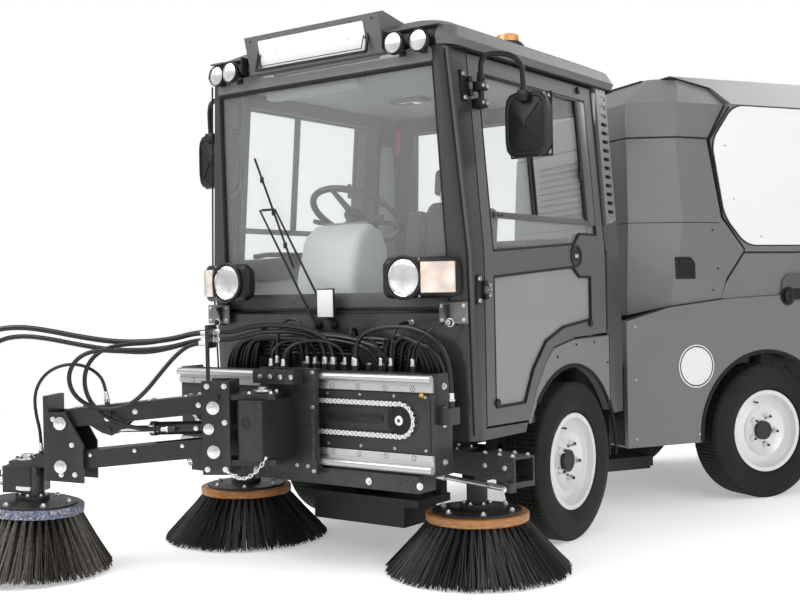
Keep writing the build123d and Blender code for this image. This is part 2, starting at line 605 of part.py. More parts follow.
BOOM_HOSES = [                  # in the boom's axes
    (10, [(183.3, 0, 883), (240, 0, 883), (340, 0, 858), (440, 0, 850), (560, 0, 852), (690, 0, 872), (820, 0, 899),
          (930, 3, 914), (1035, 8, 902), (1122, 12, 850), (1178, 16, 768), (1203, 19, 665), (1197, 21, 560),
          (1172, 22, 455), (1098, 22, 370), (1000 + RUNNING, 22, 370)]),
    (9, [(183.3, 0, 855), (240, 0, 855), (340, 0, 829), (440, 0, 820), (560, 0, 821), (690, 0, 842), (815, 0, 868),
         (920, -3, 880), (1010, -8, 866), (1085, -12, 815), (1132, -16, 740), (1152, -19, 650), (1152, -20, 560),
         (1142, -21, 470), (1128, -22, 398), (1075, -22, 330), (1000 + RUNNING, -22, 330)]),
    (8, [(190 + RUNNING, 30, 880), (240, 30, 880), (325, 36, 862), (405, 48, 848), (490, 64, 846), (565, 80, 832),
         (618, 88, 790), (640, 92, 728), (630, 92, 662), (590, 90, 606), (532, 84, 568), (470, 60, 542),
         (410, 36, 532.4), (344.3, 36, 533.7)]),
    (8, [(190 + RUNNING, 30, 854), (240, 30, 854), (310, 50, 832), (400, 76, 814), (500, 100, 822), (590, 112, 828),
         (655, 116, 800), (688, 118, 742), (676, 118, 678), (624, 118, 632), (545, 118, 612), (462, 116, 626),
         (400, 108, 678), (350, 94, 742), (298, 72, 806), (245, 54, 846), (190 + RUNNING, 54, 846)]),
    (6, [(834, 35, 455 + RUNNING), (834, 35, 520), (850, 44, 600), (846, 54, 675), (806, 60, 738), (742, 62, 772),
         (672, 60, 776), (612, 54, 750), (576.4, 50, 705.5), (570.8, 50, 645.8)]),
]
PORT_WALL = 2.5                 # of a port beyond its hose


def port(end, depth, radius):
    """An upright port that a hose stands on, in the part being built."""
    rod((end[0], end[1], end[2] - RUNNING - depth), (end[0], end[1], end[2] - RUNNING), radius + PORT_WALL)


# ---------------------------------------------------------------- slide frame, rails, chain
RAIL_Y = FRAME_Y - 18
CHAIN_Z = 573
SPROCKET_R = 56
SPROCKET_X = 480
with BuildPart() as slide_frame:
    block((-FRAME_HALF, FRAME_HALF), (FRAME_Y, FRAME_Y + 10), (FRAME_FOOT_Z + 60, FRAME_TOP_Z))
    block((-FRAME_HALF + 60, FRAME_HALF - 60), (FRAME_Y - 12, FRAME_Y + 90), (FRAME_FOOT_Z, FRAME_FOOT_Z + 60))
    for side in (LEFT_SIDE, RIGHT_SIDE):
        block(sorted((side * (FRAME_HALF - 12), side * FRAME_HALF)), (FRAME_Y, FRAME_Y + 110),
              (FRAME_FOOT_Z + 60, FRAME_TOP_Z))
        block(sorted((side * 240, side * 380)), (FRAME_Y + 10, FRAME_Y + 110), (FRAME_FOOT_Z + 60, 500))
    # shelf with the hose ports, and the chain's motor on the side
    block((-200, 500), (FRAME_Y + 9, FRAME_Y + 100), (SHELF_Z - 30, SHELF_Z - 20))
    for radius, points in FRAME_HOSES + CARRIAGE_HOSES:
        for end in (points[0], points[-1]):
            if end[2] == SHELF_Z + RUNNING:
                port(end, 22, radius)
    block((FRAME_HALF - 1, FRAME_HALF + 47), (FRAME_Y + 25, FRAME_Y + 88), (560, 618))
    port(FRAME_HOSES[0][1][-1], 30, FRAME_HOSES[0][0])
write(slide_frame, "slide_frame")

with BuildPart() as frame_hoses:
    for radius, points in FRAME_HOSES:
        hose(radius, points)
write(frame_hoses, "frame_hoses")

RAILS = [  # z of the flat bar, z of the round bar
    (FRAME_TOP_Z - 52, FRAME_TOP_Z - 18),
    (FRAME_FOOT_Z + 122, FRAME_FOOT_Z + 84)]
with BuildPart() as slide_rails:
    for flat_z, round_z in RAILS:
        block((-FRAME_HALF, FRAME_HALF), (FRAME_Y - 12, FRAME_Y), (flat_z - 11, flat_z + 11))
        block((-FRAME_HALF, FRAME_HALF), (FRAME_Y - 8, FRAME_Y), (min(flat_z, round_z), max(flat_z, round_z)))
        cross_bar((FRAME_Y - 14, round_z), (-FRAME_HALF, FRAME_HALF), 14)
write(slide_rails, "slide_rails")

with BuildPart() as drive_chain:
    with BuildSketch(Plane.XZ.offset(-FRAME_Y + 4)):
        with Locations((0, CHAIN_Z)):
            SlotCenterToCenter(2 * SPROCKET_X, 2 * (SPROCKET_R + 7))
            SlotCenterToCenter(2 * SPROCKET_X, 2 * (SPROCKET_R - 7), mode=Mode.SUBTRACT)
    extrude(amount=12)
    for side in (LEFT_SIDE, RIGHT_SIDE):
        rod((side * SPROCKET_X, FRAME_Y, CHAIN_Z), (side * SPROCKET_X, FRAME_Y - 20, CHAIN_Z), SPROCKET_R - 6)
write(drive_chain, "drive_chain")

# ---------------------------------------------------------------- side brooms
BROOM_TOP_Z = BROOM_RING_Z + BROOM_RING_H


def make_broom(tip_r, bristle_h):
    """A broom about the Z axis, with its bristle tips at z = 0."""
    ring_z = bristle_h
    top = ring_z + BROOM_RING_H
    with BuildPart() as broom:
        with BuildSketch(Plane.XZ):
            Polygon((BROOM_RING_R - 78, ring_z), (BROOM_RING_R - 4, ring_z), (tip_r, 0), (tip_r - 96, 0),
                    align=None)
            Polygon((BROOM_RING_R - 84, ring_z), (BROOM_RING_R, ring_z), (BROOM_RING_R, top),
                    (BROOM_RING_R - 84, top), align=None)
            Polygon((0, top), (BROOM_RING_R - 26, top), (BROOM_RING_R - 26, top + 8), (0, top + 8), align=None)
        revolve(axis=Axis.Z)
        with Locations((0, 0, top + 8)):
            Cylinder(62, 22, align=(Align.CENTER, Align.CENTER, Align.MIN))
    return broom


side_broom = make_broom(BROOM_TIP_R, BROOM_RING_Z - BROOM_LIFT_OFF)
BROOM_HUB_TOP = BROOM_TOP_Z + 30
ARM_LENGTH = 445
ARM_HALF = 50
GUIDE_HALF = 34
BROOM_LIFT_TOP = 406            # top of the lifting block, so that it stays under the cab when it is raised
for side, word in ((LEFT_SIDE, "left"), (RIGHT_SIDE, "right")):
    write(side_broom, f"side_broom_{word}", FRONT * Location((side * BROOM_X, BROOM_Y, BROOM_LIFT_OFF)))
    arm_place = FRONT * Location((side * ARM_PIVOT[0], ARM_PIVOT[1], 0),
                                 (0, 0, ARM_TURN if side == LEFT_SIDE else 180 - ARM_TURN))
    front = -side                # the arm's front face looks forwards on both sides
    guide_x = hypot(BROOM_X - ARM_PIVOT[0], BROOM_Y - ARM_PIVOT[1])
    with BuildPart() as arm:
        for y in ((-ARM_HALF, -ARM_HALF + 8), (ARM_HALF - 8, ARM_HALF)):
            block((-34, ARM_LENGTH), y, ARM_Z)
        block((-34, ARM_LENGTH), (-ARM_HALF, ARM_HALF), (ARM_Z[1], ARM_Z[1] + 8))
        block((ARM_LENGTH - 90, ARM_LENGTH), (-ARM_HALF, ARM_HALF), (ARM_Z[0] - 20, ARM_Z[0]))
        rod((0, 0, ARM_Z[0]), (0, 0, ARM_Z[1]), 28)
        block((-8, 8), (-ARM_HALF, ARM_HALF), ARM_Z)
        rod((0, 0, ARM_Z[0] - 1), (0, 0, ARM_Z[1] + 9), ARM_PIN_R + RUNNING, Mode.SUBTRACT)
        block((guide_x - GUIDE_HALF - CLEAR, guide_x + GUIDE_HALF + CLEAR),
              (-ARM_HALF + 8, ARM_HALF - 8), (ARM_Z[1] - 1, ARM_Z[1] + 9), Mode.SUBTRACT)
        rod((20, front * 62, 336), (ARM_LENGTH - 20, front * 62, 330), 9)
        block((10, 34), sorted((front * 42, front * 70)), (328, 360))
        block((ARM_LENGTH - 34, ARM_LENGTH), sorted((front * 40, front * 70)), (318, 352))
    write(arm, f"broom_arm_{word}", arm_place)
    with BuildPart() as motor:
        top = BROOM_HUB_TOP + RUNNING
        rod((guide_x, 0, top), (guide_x, 0, 330), 38)
        block((guide_x - GUIDE_HALF, guide_x + GUIDE_HALF),
              (-ARM_HALF + 8 + RUNNING, ARM_HALF - 8 - RUNNING), (328, BROOM_LIFT_TOP))
    write(motor, f"broom_motor_{word}", arm_place)

# ---------------------------------------------------------------- boom with the third broom
SWING_PIN_R = 24
with BuildPart() as slide_carriage:
    block((BOOM_X - 100, BOOM_X + 172), (FRAME_Y - 48, FRAME_Y - 30), (FRAME_FOOT_Z + 38, FRAME_TOP_Z + 10))
    for low_z in (RAILS[0][1] + 14 + RUNNING, RAILS[1][1] - 28 - RUNNING):
        block((BOOM_X - 100, BOOM_X + 172), (FRAME_Y - 31, FRAME_Y - 14), (low_z, low_z + 14))
    with BuildSketch(Plane.XY.offset(425)):
        with Locations((BOOM_X, BOOM_Y + 10)):
            RectangleRounded(118, 204, 30)
    extrude(amount=215)
    block((BOOM_X - 59, BOOM_X + 59), (BOOM_Y + 60, FRAME_Y - 48), (425, 640))
    rod((BOOM_X, BOOM_Y, 402), (BOOM_X, BOOM_Y, 664), SWING_PIN_R)
    block((BOOM_X - 89, BOOM_X + 111), (FRAME_Y - 98, FRAME_Y - 46), (690, MANIFOLD_Z - 12))
    for radius, points in CARRIAGE_HOSES:
        if points[0][2] == MANIFOLD_Z + RUNNING:
            port(points[0], 16, radius)
write(slide_carriage, "slide_carriage")

with BuildPart() as carriage_hoses:
    for radius, points in CARRIAGE_HOSES:
        hose(radius, points)
write(carriage_hoses, "carriage_hoses")

LINK_Z = [BOOM_UPPER_Z, BOOM_UPPER_Z - BOOM_LINK_GAP]
OUT_S = BOOM_PIN_S + BOOM_LINK
FORK_HALF = 58                  # inside of the swing bracket's cheeks
LIFT_FOOT = (183, 537)          # inner pin of the lifting cylinder: along the boom, z
LIFT_EYE = (572, 529)           # its rod's pin under the upper link
GUIDE_S = (178, 190)            # the hose guide along the boom
with BuildPart() as swing_bracket:
    for z in ((405, 425 - RUNNING), (640 + RUNNING, 660)):
        block((-60, BOOM_PIN_S - 40), (-60, 60), z)
    for y in ((-FORK_HALF - 12, -FORK_HALF), (FORK_HALF, FORK_HALF + 12)):
        block((BOOM_PIN_S - 60, BOOM_PIN_S + 42), y, (372, 710))
    block((BOOM_PIN_S - 60, BOOM_PIN_S - 48), (-FORK_HALF, FORK_HALF), (372, 710))
    for z in LINK_Z:
        rod((BOOM_PIN_S, -FORK_HALF - 20, z), (BOOM_PIN_S, FORK_HALF + 20, z), 12)
    rod((LIFT_FOOT[0], -FORK_HALF - 18, LIFT_FOOT[1]), (LIFT_FOOT[0], FORK_HALF + 18, LIFT_FOOT[1]), 12)
    rod((0, 0, 400), (0, 0, 666), SWING_PIN_R + RUNNING, Mode.SUBTRACT)
    # hose guide on a post: an open ring for the large hoses, closed for the small ones beside them
    block(GUIDE_S, (FORK_HALF, FORK_HALF + 12), (700, 836))
    for z in ((826, 836), (900, 910)):
        block(GUIDE_S, (-26, FORK_HALF + 14), z)
    block(GUIDE_S, (-26, -14), (836, 900))
    block(GUIDE_S, (14, FORK_HALF + 14), (836, 900))
write(swing_bracket, "swing_bracket", BOOM)

LINK_RUN = hypot(BOOM_LINK, BOOM_DROP)
LINK_FALL = degrees(atan2(BOOM_DROP, BOOM_LINK))
LIFT_EYE_X = (LIFT_EYE[0] - BOOM_PIN_S) * BOOM_LINK / LINK_RUN + (BOOM_UPPER_Z - LIFT_EYE[1]) * BOOM_DROP / LINK_RUN
LIFT_EYE_DROP = (LIFT_EYE[0] - BOOM_PIN_S) * BOOM_DROP / LINK_RUN - (BOOM_UPPER_Z - LIFT_EYE[1]) * BOOM_LINK / LINK_RUN
for word, z, height in (("upper", LINK_Z[0], 60), ("lower", LINK_Z[1], 72)):
    with BuildPart() as link:
        block((10, LINK_RUN - 10), (-44, 44), (-19, 47))
        if word == "lower":
            block((0, 240), (-30, 30), (0, 60), Mode.SUBTRACT)
        for x in (0, LINK_RUN):
            rod((x, -FORK_HALF + RUNNING, 0), (x, FORK_HALF - RUNNING, 0), height / 2)
        if word == "upper":
            for y in ((-34, -22), (22, 34)):
                front_plate([(330, -18), (486, -18), (440, -52), (404, -66), (380, -56)], y)
            rod((LIFT_EYE_X, -40, LIFT_EYE_DROP), (LIFT_EYE_X, 40, LIFT_EYE_DROP), 11)
            rod((400, 50, 20), (400, 50, 70), 9)
            block((388, 412), (40, 58), (10, 36))
        for x in (0, LINK_RUN):
            rod((x, -FORK_HALF, 0), (x, FORK_HALF, 0), 12 + RUNNING, Mode.SUBTRACT)
    write(link, f"{word}_link", BOOM * Location((BOOM_PIN_S, 0, z), (0, LINK_FALL, 0)))

THIRD_RING_Z = 205
THIRD_HUB_TOP = THIRD_RING_Z + BROOM_RING_H + 30
THIRD_FOOT = Location((THIRD_S, 0, 24), (0, -THIRD_TILT, 0))


def third_point(height):
    """A point on the third broom's shaft, in the boom's axes."""
    return tuple((THIRD_FOOT * Location((0, 0, height))).position)


with BuildPart() as boom_head:
    for y in ((-FORK_HALF - 12, -FORK_HALF), (FORK_HALF, FORK_HALF + 12)):
        side_points = [(OUT_S - 86, 340), (OUT_S + 44, 350), (OUT_S + 44, 600), (OUT_S - 20, 600), (OUT_S - 86, 480)]
        front_plate(side_points, y)
    for z in LINK_Z:
        rod((OUT_S, -FORK_HALF - 20, z - BOOM_DROP), (OUT_S, FORK_HALF + 20, z - BOOM_DROP), 12)
    block((OUT_S + 44, OUT_S + 64), (-FORK_HALF - 12, FORK_HALF + 12), (350, 660))
    block((OUT_S + 60, THIRD_S + 50), (-50, 50), (395, 420))
    block((THIRD_S - 60, THIRD_S - 44), (-60, 60), (300, 396))
    # broom motor with its two ports, and the valve block
    block((THIRD_S - 30, THIRD_S + 79), (-44, 44), (302, 400))
    for y, z in ((22, 370), (-22, 330)):
        rod((THIRD_S + 70, y, z), (1000, y, z), 13)
    block((OUT_S + 70, OUT_S + 110), (14, 50), (415, 445))
    port(BOOM_HOSES[-1][1][0], 20, BOOM_HOSES[-1][0])
    rod(third_point(THIRD_HUB_TOP + RUNNING), third_point(THIRD_HUB_TOP + 120), 42)
write(boom_head, "boom_head", BOOM)

LIFT_RUN = hypot(LIFT_EYE[0] - LIFT_FOOT[0], LIFT_EYE[1] - LIFT_FOOT[1])
LIFT_FALL = degrees(atan2(LIFT_FOOT[1] - LIFT_EYE[1], LIFT_EYE[0] - LIFT_FOOT[0]))
for word in ("barrel", "rod"):
    with BuildPart() as cylinder:
        if word == "barrel":
            rod((0, -20, 0), (0, 20, 0), 22)
            rod((0, 0, 0), (LIFT_RUN - 150, 0, 0), 24)
            rod((134, 36, 0), (161, 36, 0), 13)
            rod((0, -30, 0), (0, 30, 0), 12 + RUNNING, Mode.SUBTRACT)
            rod((40, 0, 0), (LIFT_RUN, 0, 0), 12 + RUNNING, Mode.SUBTRACT)
        else:
            rod((60, 0, 0), (LIFT_RUN, 0, 0), 12)
            rod((LIFT_RUN, -14, 0), (LIFT_RUN, 14, 0), 20)
            rod((LIFT_RUN, -30, 0), (LIFT_RUN, 30, 0), 14, Mode.SUBTRACT)
    write(cylinder, f"lift_cylinder_{word}", BOOM * Location((LIFT_FOOT[0], 0, LIFT_FOOT[1]), (0, LIFT_FALL, 0)))

with BuildPart() as boom_hoses:
    for radius, points in BOOM_HOSES:
        hose(radius, points)
write(boom_hoses, "boom_hoses", BOOM)

third_broom = make_broom(THIRD_TIP_R, THIRD_RING_Z)
write(third_broom, "third_broom", BOOM * THIRD_FOOT)

# ---------------------------------------------------------------- suction mouth
with BuildPart() as suction_mouth:
    block((-225, 225), (-600, -380), (110, 190))
    block((-292, 292), (-600, -380), (190, 221))
    block((-205, 205), (-580, -400), (100, 200), Mode.SUBTRACT)
    rod((0, -490, 215), (0, -400, 430), 90)
    for side in (LEFT_SIDE, RIGHT_SIDE):
        block(sorted((side * BEAM_X, side * (BEAM_X + 40))), (-440, -400), (220, BEAM_Z[0]))
write(suction_mouth, "suction_mouth")

# ---------------------------------------------------------------- rear module
TIP_FOOT = (1500, 505)          # lower pins of the tipping cylinders: y, z
TIP_EYE = (1565, 1140)          # their rod pins on the hopper
TIP_PIN_R = 9
TIP_PLAY = 11                   # round those pins, for the eye's path strays 9 mm from the pin's as the hopper tips
with BuildPart() as rear_chassis:
    block((-65, 65), (0, 200), (345, 615))
    with BuildSketch(Plane.XY.offset(345)):
        Circle(65)
    extrude(amount=270)
    rod((0, 0, 340), (0, 0, 620), 30 + RUNNING, Mode.SUBTRACT)
    for side in (LEFT_SIDE, RIGHT_SIDE):
        block(sorted((side * 240, side * 310)), (140, 1976), (430, 540))
        cross_bar(TIP_FOOT, sorted((side * 170, side * 245)), 16)
        block(sorted((side * 296, side * 316)), (TIP_Y - 60, TIP_Y + 11), (500, TIP_Z + 40))
        cross_bar((TIP_Y, TIP_Z), sorted((side * 300, side * 372)), 22)
    for y in (140, 560, 1300, 1900):
        block((-310, 310), (y, y + 70), (430, 540))
    axle(REAR_AXLE_Y)
    block((-300, 300), (60, 440), (140, 190))
    for side in (LEFT_SIDE, RIGHT_SIDE):
        block(sorted((side * 250, side * 290)), (150, 190), (180, 440))
    for side in (LEFT_SIDE, RIGHT_SIDE):
        block(sorted((side * 240, side * 310)), (REAR_AXLE_Y - 50, REAR_AXLE_Y + 50), (WHEEL_R, 430))
write(rear_chassis, "rear_chassis", REAR)

with BuildPart() as engine:
    block((-260, 260), (230, 800), (540, 1050))
write(engine, "engine", REAR)

SHOULDER_Z = HOPPER_TOP_Z - 150  # where the cowl and the hopper slope in to their top
COWL_FRONT = [  # z, half width of the front face, its y, y where the flank begins, half width of the flank
    (850, 520, 150, 330, 630),
    (960, 520, 150, 330, 630),
    (1320, 540, 150, 390, 630),
    (HOPPER_TOP_Z - 330, 520, 160, 360, 622),
    (SHOULDER_Z, 480, 190, 400, 590),
    (HOPPER_TOP_Z, 330, 420, 520, 440),
]
SKIRT_TOP = [(64, 868), (300, 925), (607, 955)]     # top edge of the skirts: y, z
SEAM = [(607, 960), (637, 1050), (746, 1187), (614, 1339), (541, HOPPER_TOP_Z - 326),
        (673, SHOULDER_Z + 4), (640, SHOULDER_Z + 92), (450, HOPPER_TOP_Z)]


def cowl_loft(inset, mode=Mode.ADD):
    """The engine cowl as a stack of faceted sections, drawn in by inset."""
    sections = []
    for z, front_half, front_y, flank_y, half in COWL_FRONT:
        front_x = front_half - inset
        flank_x = half - inset
        with BuildSketch(Plane.XY.offset(z - (inset if z == HOPPER_TOP_Z else 0))) as section:
            Polygon((-front_x, front_y + inset), (front_x, front_y + inset), (flank_x, flank_y), (flank_x, 760),
                    (-flank_x, 760), (-flank_x, flank_y), align=None)
        sections.append(section.sketch)
    loft(sections, ruled=True, mode=mode)


with BuildPart() as rear_cowl:
    cowl_loft(0)
    cowl_loft(SKIN, Mode.SUBTRACT)
    side_plate([(SEAM[0][0], 940), *SEAM, (500, HOPPER_TOP_Z + 70), (900, HOPPER_TOP_Z + 70),
                (900, 940)], (-800, 800), Mode.SUBTRACT)
    side_plate([(0, 800), (0, 868), *SKIRT_TOP, (900, 967), (900, 800)], (-800, 800), Mode.SUBTRACT)
write(rear_cowl, "rear_cowl", REAR)

SEAM_GAP = 14
DOOR_PIN = (2038, SHOULDER_Z - 4)   # the tail door's hinge: y, z
REAR_EDGE_Z = SHOULDER_Z - 20   # top of the hopper's rear opening
HOPPER_SIDE = [(SEAM[2][0] + SEAM_GAP, HOPPER_FLOOR_Z), *[(y + SEAM_GAP, z) for y, z in SEAM[3:]],
               (1880, HOPPER_TOP_Z), (HOPPER_BACK_Y - 60, SHOULDER_Z + 20), (HOPPER_BACK_Y - 30, REAR_EDGE_Z),
               (HOPPER_BACK_Y - 30, HOPPER_FLOOR_Z)]
HOPPER_FRONT = [(-HOPPER_HALF, 1100), (HOPPER_HALF, 1100), (HOPPER_HALF, SHOULDER_Z), (440, HOPPER_TOP_Z + 10),
                (-440, HOPPER_TOP_Z + 10), (-HOPPER_HALF, SHOULDER_Z)]
with BuildPart() as hopper:
    side_plate(HOPPER_SIDE, (-HOPPER_HALF, HOPPER_HALF))
    front_plate(HOPPER_FRONT, (0, 2200), Mode.INTERSECT)
    with BuildPart(mode=Mode.PRIVATE) as hollow:
        with BuildSketch(Plane.YZ.offset(-HOPPER_HALF + HOPPER_WALL)):
            add(grown(HOPPER_SIDE, -HOPPER_WALL))
            with Locations((HOPPER_BACK_Y - 100, (HOPPER_FLOOR_Z + REAR_EDGE_Z) / 2)):
                Rectangle(300, REAR_EDGE_Z - HOPPER_FLOOR_Z - 2 * HOPPER_WALL)
        extrude(amount=2 * (HOPPER_HALF - HOPPER_WALL))
        with BuildSketch(Plane.XZ.offset(-2300)):
            add(grown(HOPPER_FRONT, -HOPPER_WALL))
        extrude(amount=2400, mode=Mode.INTERSECT)
    add(hollow.part, mode=Mode.SUBTRACT)
    for side in (LEFT_SIDE, RIGHT_SIDE):
        block(sorted((side * 330, side * 360)), (TIP_Y - 70, TIP_Y + 30), (TIP_Z - 40, HOPPER_FLOOR_Z + 4))
        cross_bar((TIP_Y, TIP_Z), (side * 320, side * 370), 22 + RUNNING, Mode.SUBTRACT)
        for x in (164, 230):
            block(sorted((side * x, side * (x + 14))), (TIP_EYE[0] - 30, TIP_EYE[0] + 30),
                  (TIP_EYE[1] - 30, HOPPER_FLOOR_Z))
        cross_bar(TIP_EYE, sorted((side * 158, side * 250)), TIP_PIN_R)
        block(sorted((side * 300, side * 330)), (1990, DOOR_PIN[0] + 12), (DOOR_PIN[1] - 12, DOOR_PIN[1] + 12))
        cross_bar(DOOR_PIN, sorted((side * 310, side * 366)), 6)
write(hopper, "hopper", REAR)

PANEL_TOP_Z = SHOULDER_Z - 12
PANEL = [(785, 1222), (656, 1350), (590, PANEL_TOP_Z - 178), (720, PANEL_TOP_Z), (1920, PANEL_TOP_Z),
         (1986, PANEL_TOP_Z - 78), (1986, 1222)]
with BuildPart() as hopper_panels:
    for side in (LEFT_SIDE, RIGHT_SIDE):
        with BuildSketch(Plane.YZ.offset(side * HOPPER_HALF)) as panel:
            Polygon(*PANEL, align=None)
            fillet(panel.vertices(), 50)
        extrude(amount=side * 8)
write(hopper_panels, "hopper_panels", REAR)

with BuildPart() as tail_door:
    block((-HOPPER_HALF, HOPPER_HALF), (HOPPER_BACK_Y - 24, HOPPER_BACK_Y), (HOPPER_FLOOR_Z, REAR_EDGE_Z - 2))
    block((-520, 520), (HOPPER_BACK_Y, HOPPER_BACK_Y + 12), (HOPPER_FLOOR_Z + 60, REAR_EDGE_Z - 60))
    for side in (LEFT_SIDE, RIGHT_SIDE):
        block(sorted((side * 332, side * 362)), (DOOR_PIN[0] - 12, DOOR_PIN[0] + 12),
              (REAR_EDGE_Z - 10, DOOR_PIN[1] + 12))
        cross_bar(DOOR_PIN, sorted((side * 320, side * 370)), 6 + RUNNING, Mode.SUBTRACT)
write(tail_door, "tail_door", REAR)

# tipping cylinders
CYLINDER_X = 204
TIP_RUN = hypot(TIP_EYE[0] - TIP_FOOT[0], TIP_EYE[1] - TIP_FOOT[1])
TIP_LEAN = degrees(atan2(TIP_EYE[0] - TIP_FOOT[0], TIP_EYE[1] - TIP_FOOT[1]))
for word in ("barrels", "rods"):
    with BuildPart() as cylinder:
        for side in (LEFT_SIDE, RIGHT_SIDE):
            x = side * CYLINDER_X
            if word == "barrels":
                cross_bar((0, 0), (x - 16, x + 16), 30)
                rod((x, 0, 0), (x, 0, TIP_RUN - 90), 34)
                cross_bar((0, 0), (x - 40, x + 40), 16 + RUNNING, Mode.SUBTRACT)
                rod((x, 0, 60), (x, 0, TIP_RUN), 20 + RUNNING, Mode.SUBTRACT)
            else:
                rod((x, 0, 100), (x, 0, TIP_RUN), 20)
                cross_bar((0, TIP_RUN), (x - 16, x + 16), TIP_PIN_R + TIP_PLAY + 8)
                cross_bar((0, TIP_RUN), (x - 30, x + 30), TIP_PIN_R + TIP_PLAY, Mode.SUBTRACT)
    write(cylinder, f"tip_cylinder_{word}", REAR * Location((0, *TIP_FOOT), (-TIP_LEAN, 0, 0)))

with BuildPart() as rear_skirts:
    for side in (LEFT_SIDE, RIGHT_SIDE):
        with BuildSketch(Plane.YZ.offset(side * (REAR_HALF - 30))):
            Polygon((64, SKIRT_FOOT_Z), *SKIRT_TOP, (SKIRT_BACK_Y - 20, 1010), (SKIRT_BACK_Y, 1010),
                    (SKIRT_BACK_Y, 420), (1300, SKIRT_FOOT_Z), align=None)
            with Locations((REAR_AXLE_Y, WHEEL_R)):
                Circle(WHEEL_R + ARCH_GAP, mode=Mode.SUBTRACT)
        extrude(amount=side * 30)
        block(sorted((side * 440, side * (REAR_HALF - 30))), (64, 76), (SKIRT_FOOT_Z, 868))
        block(sorted((side * 310, side * (REAR_HALF - 30))), (150, 200), (440, 520))
        block(sorted((side * 310, side * (REAR_HALF - 30))), (1500, 1550), (440, 520))
    block((-REAR_HALF + 30, REAR_HALF - 30), (64, 76), (670, 868))
    block((-REAR_HALF + 30, REAR_HALF - 30), (SKIRT_BACK_Y - 20, SKIRT_BACK_Y), (420, 1010))
    for side in (LEFT_SIDE, RIGHT_SIDE):
        block(sorted((side * 296, side * 380)), (1900, 2100), (TIP_Z - 60, 1300), Mode.SUBTRACT)
write(rear_skirts, "rear_skirts", REAR)

with BuildPart() as hopper_sill:
    for side in (LEFT_SIDE, RIGHT_SIDE):
        with BuildSketch(Plane.YZ.offset(side * (REAR_HALF - 46))):
            Polygon((607, 955), (642, 1046), (744, 1172), (SKIRT_BACK_Y, 1172), (SKIRT_BACK_Y, 1010),
                    (SKIRT_BACK_Y - 20, 1010), align=None)
        extrude(amount=side * 36)
    block((-REAR_HALF + 30, REAR_HALF - 30), (SKIRT_BACK_Y - 16, SKIRT_BACK_Y), (1010, 1172))
    for side in (LEFT_SIDE, RIGHT_SIDE):
        block(sorted((side * 296, side * 380)), (1900, 2100), (900, 1300), Mode.SUBTRACT)
write(hopper_sill, "hopper_sill", REAR)

with BuildPart() as tail_lamps:
    for side in (LEFT_SIDE, RIGHT_SIDE):
        block(sorted((side * 420, side * 600)), (SKIRT_BACK_Y, SKIRT_BACK_Y + 18), (600, 700))
write(tail_lamps, "tail_lamps", REAR)
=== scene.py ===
"""Compact articulated road sweeper: finishes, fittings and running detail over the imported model.

Pieces are modelled in millimetres in the axes of the module that carries them, X to the vehicle's
left, Y to its rear and Z up, and are set in their place in the mesh at the end.
"""
import json
import logging
import random
from dataclasses import dataclass
from enum import Enum
from math import atan2, copysign, cos, pi, radians, sin, tau

import bmesh
import bpy
from mathutils import Matrix, Vector

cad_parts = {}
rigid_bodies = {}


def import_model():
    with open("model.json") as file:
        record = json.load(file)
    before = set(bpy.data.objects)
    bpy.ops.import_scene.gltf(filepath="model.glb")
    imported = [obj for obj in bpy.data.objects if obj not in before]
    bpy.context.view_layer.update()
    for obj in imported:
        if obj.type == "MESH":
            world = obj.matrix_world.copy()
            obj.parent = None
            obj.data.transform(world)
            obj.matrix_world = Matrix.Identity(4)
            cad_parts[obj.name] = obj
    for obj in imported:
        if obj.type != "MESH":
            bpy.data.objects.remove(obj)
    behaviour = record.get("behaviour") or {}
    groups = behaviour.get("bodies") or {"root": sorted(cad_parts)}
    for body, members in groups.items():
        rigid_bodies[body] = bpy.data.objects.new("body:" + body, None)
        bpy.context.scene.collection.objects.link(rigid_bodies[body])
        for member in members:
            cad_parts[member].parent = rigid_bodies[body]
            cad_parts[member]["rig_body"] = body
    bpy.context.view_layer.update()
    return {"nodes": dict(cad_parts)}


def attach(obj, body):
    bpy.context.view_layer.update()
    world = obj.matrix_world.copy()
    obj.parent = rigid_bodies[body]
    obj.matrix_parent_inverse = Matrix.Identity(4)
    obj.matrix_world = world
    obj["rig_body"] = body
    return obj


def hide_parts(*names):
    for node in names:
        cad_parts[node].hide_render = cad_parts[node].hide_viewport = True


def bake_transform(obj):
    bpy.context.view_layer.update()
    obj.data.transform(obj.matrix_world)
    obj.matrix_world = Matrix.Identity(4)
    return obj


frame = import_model()

log = logging.getLogger("sweeper")

Point = tuple[float, float, float] | Vector
Flat = tuple[float, float]
Colour = tuple[float, float, float]
BMesh = bmesh.types.BMesh
Node = bpy.types.Node
Socket = bpy.types.NodeSocket

UP: Point = (0, 0, 1)
AHEAD: Point = (0, -1, 0)
LEFT, RIGHT = 1, -1
SIDES: dict[int, str] = {LEFT: "left", RIGHT: "right"}
BASE: Point = (217.0, 579.0, 0.0)      # the part's origin, in the front module's axes


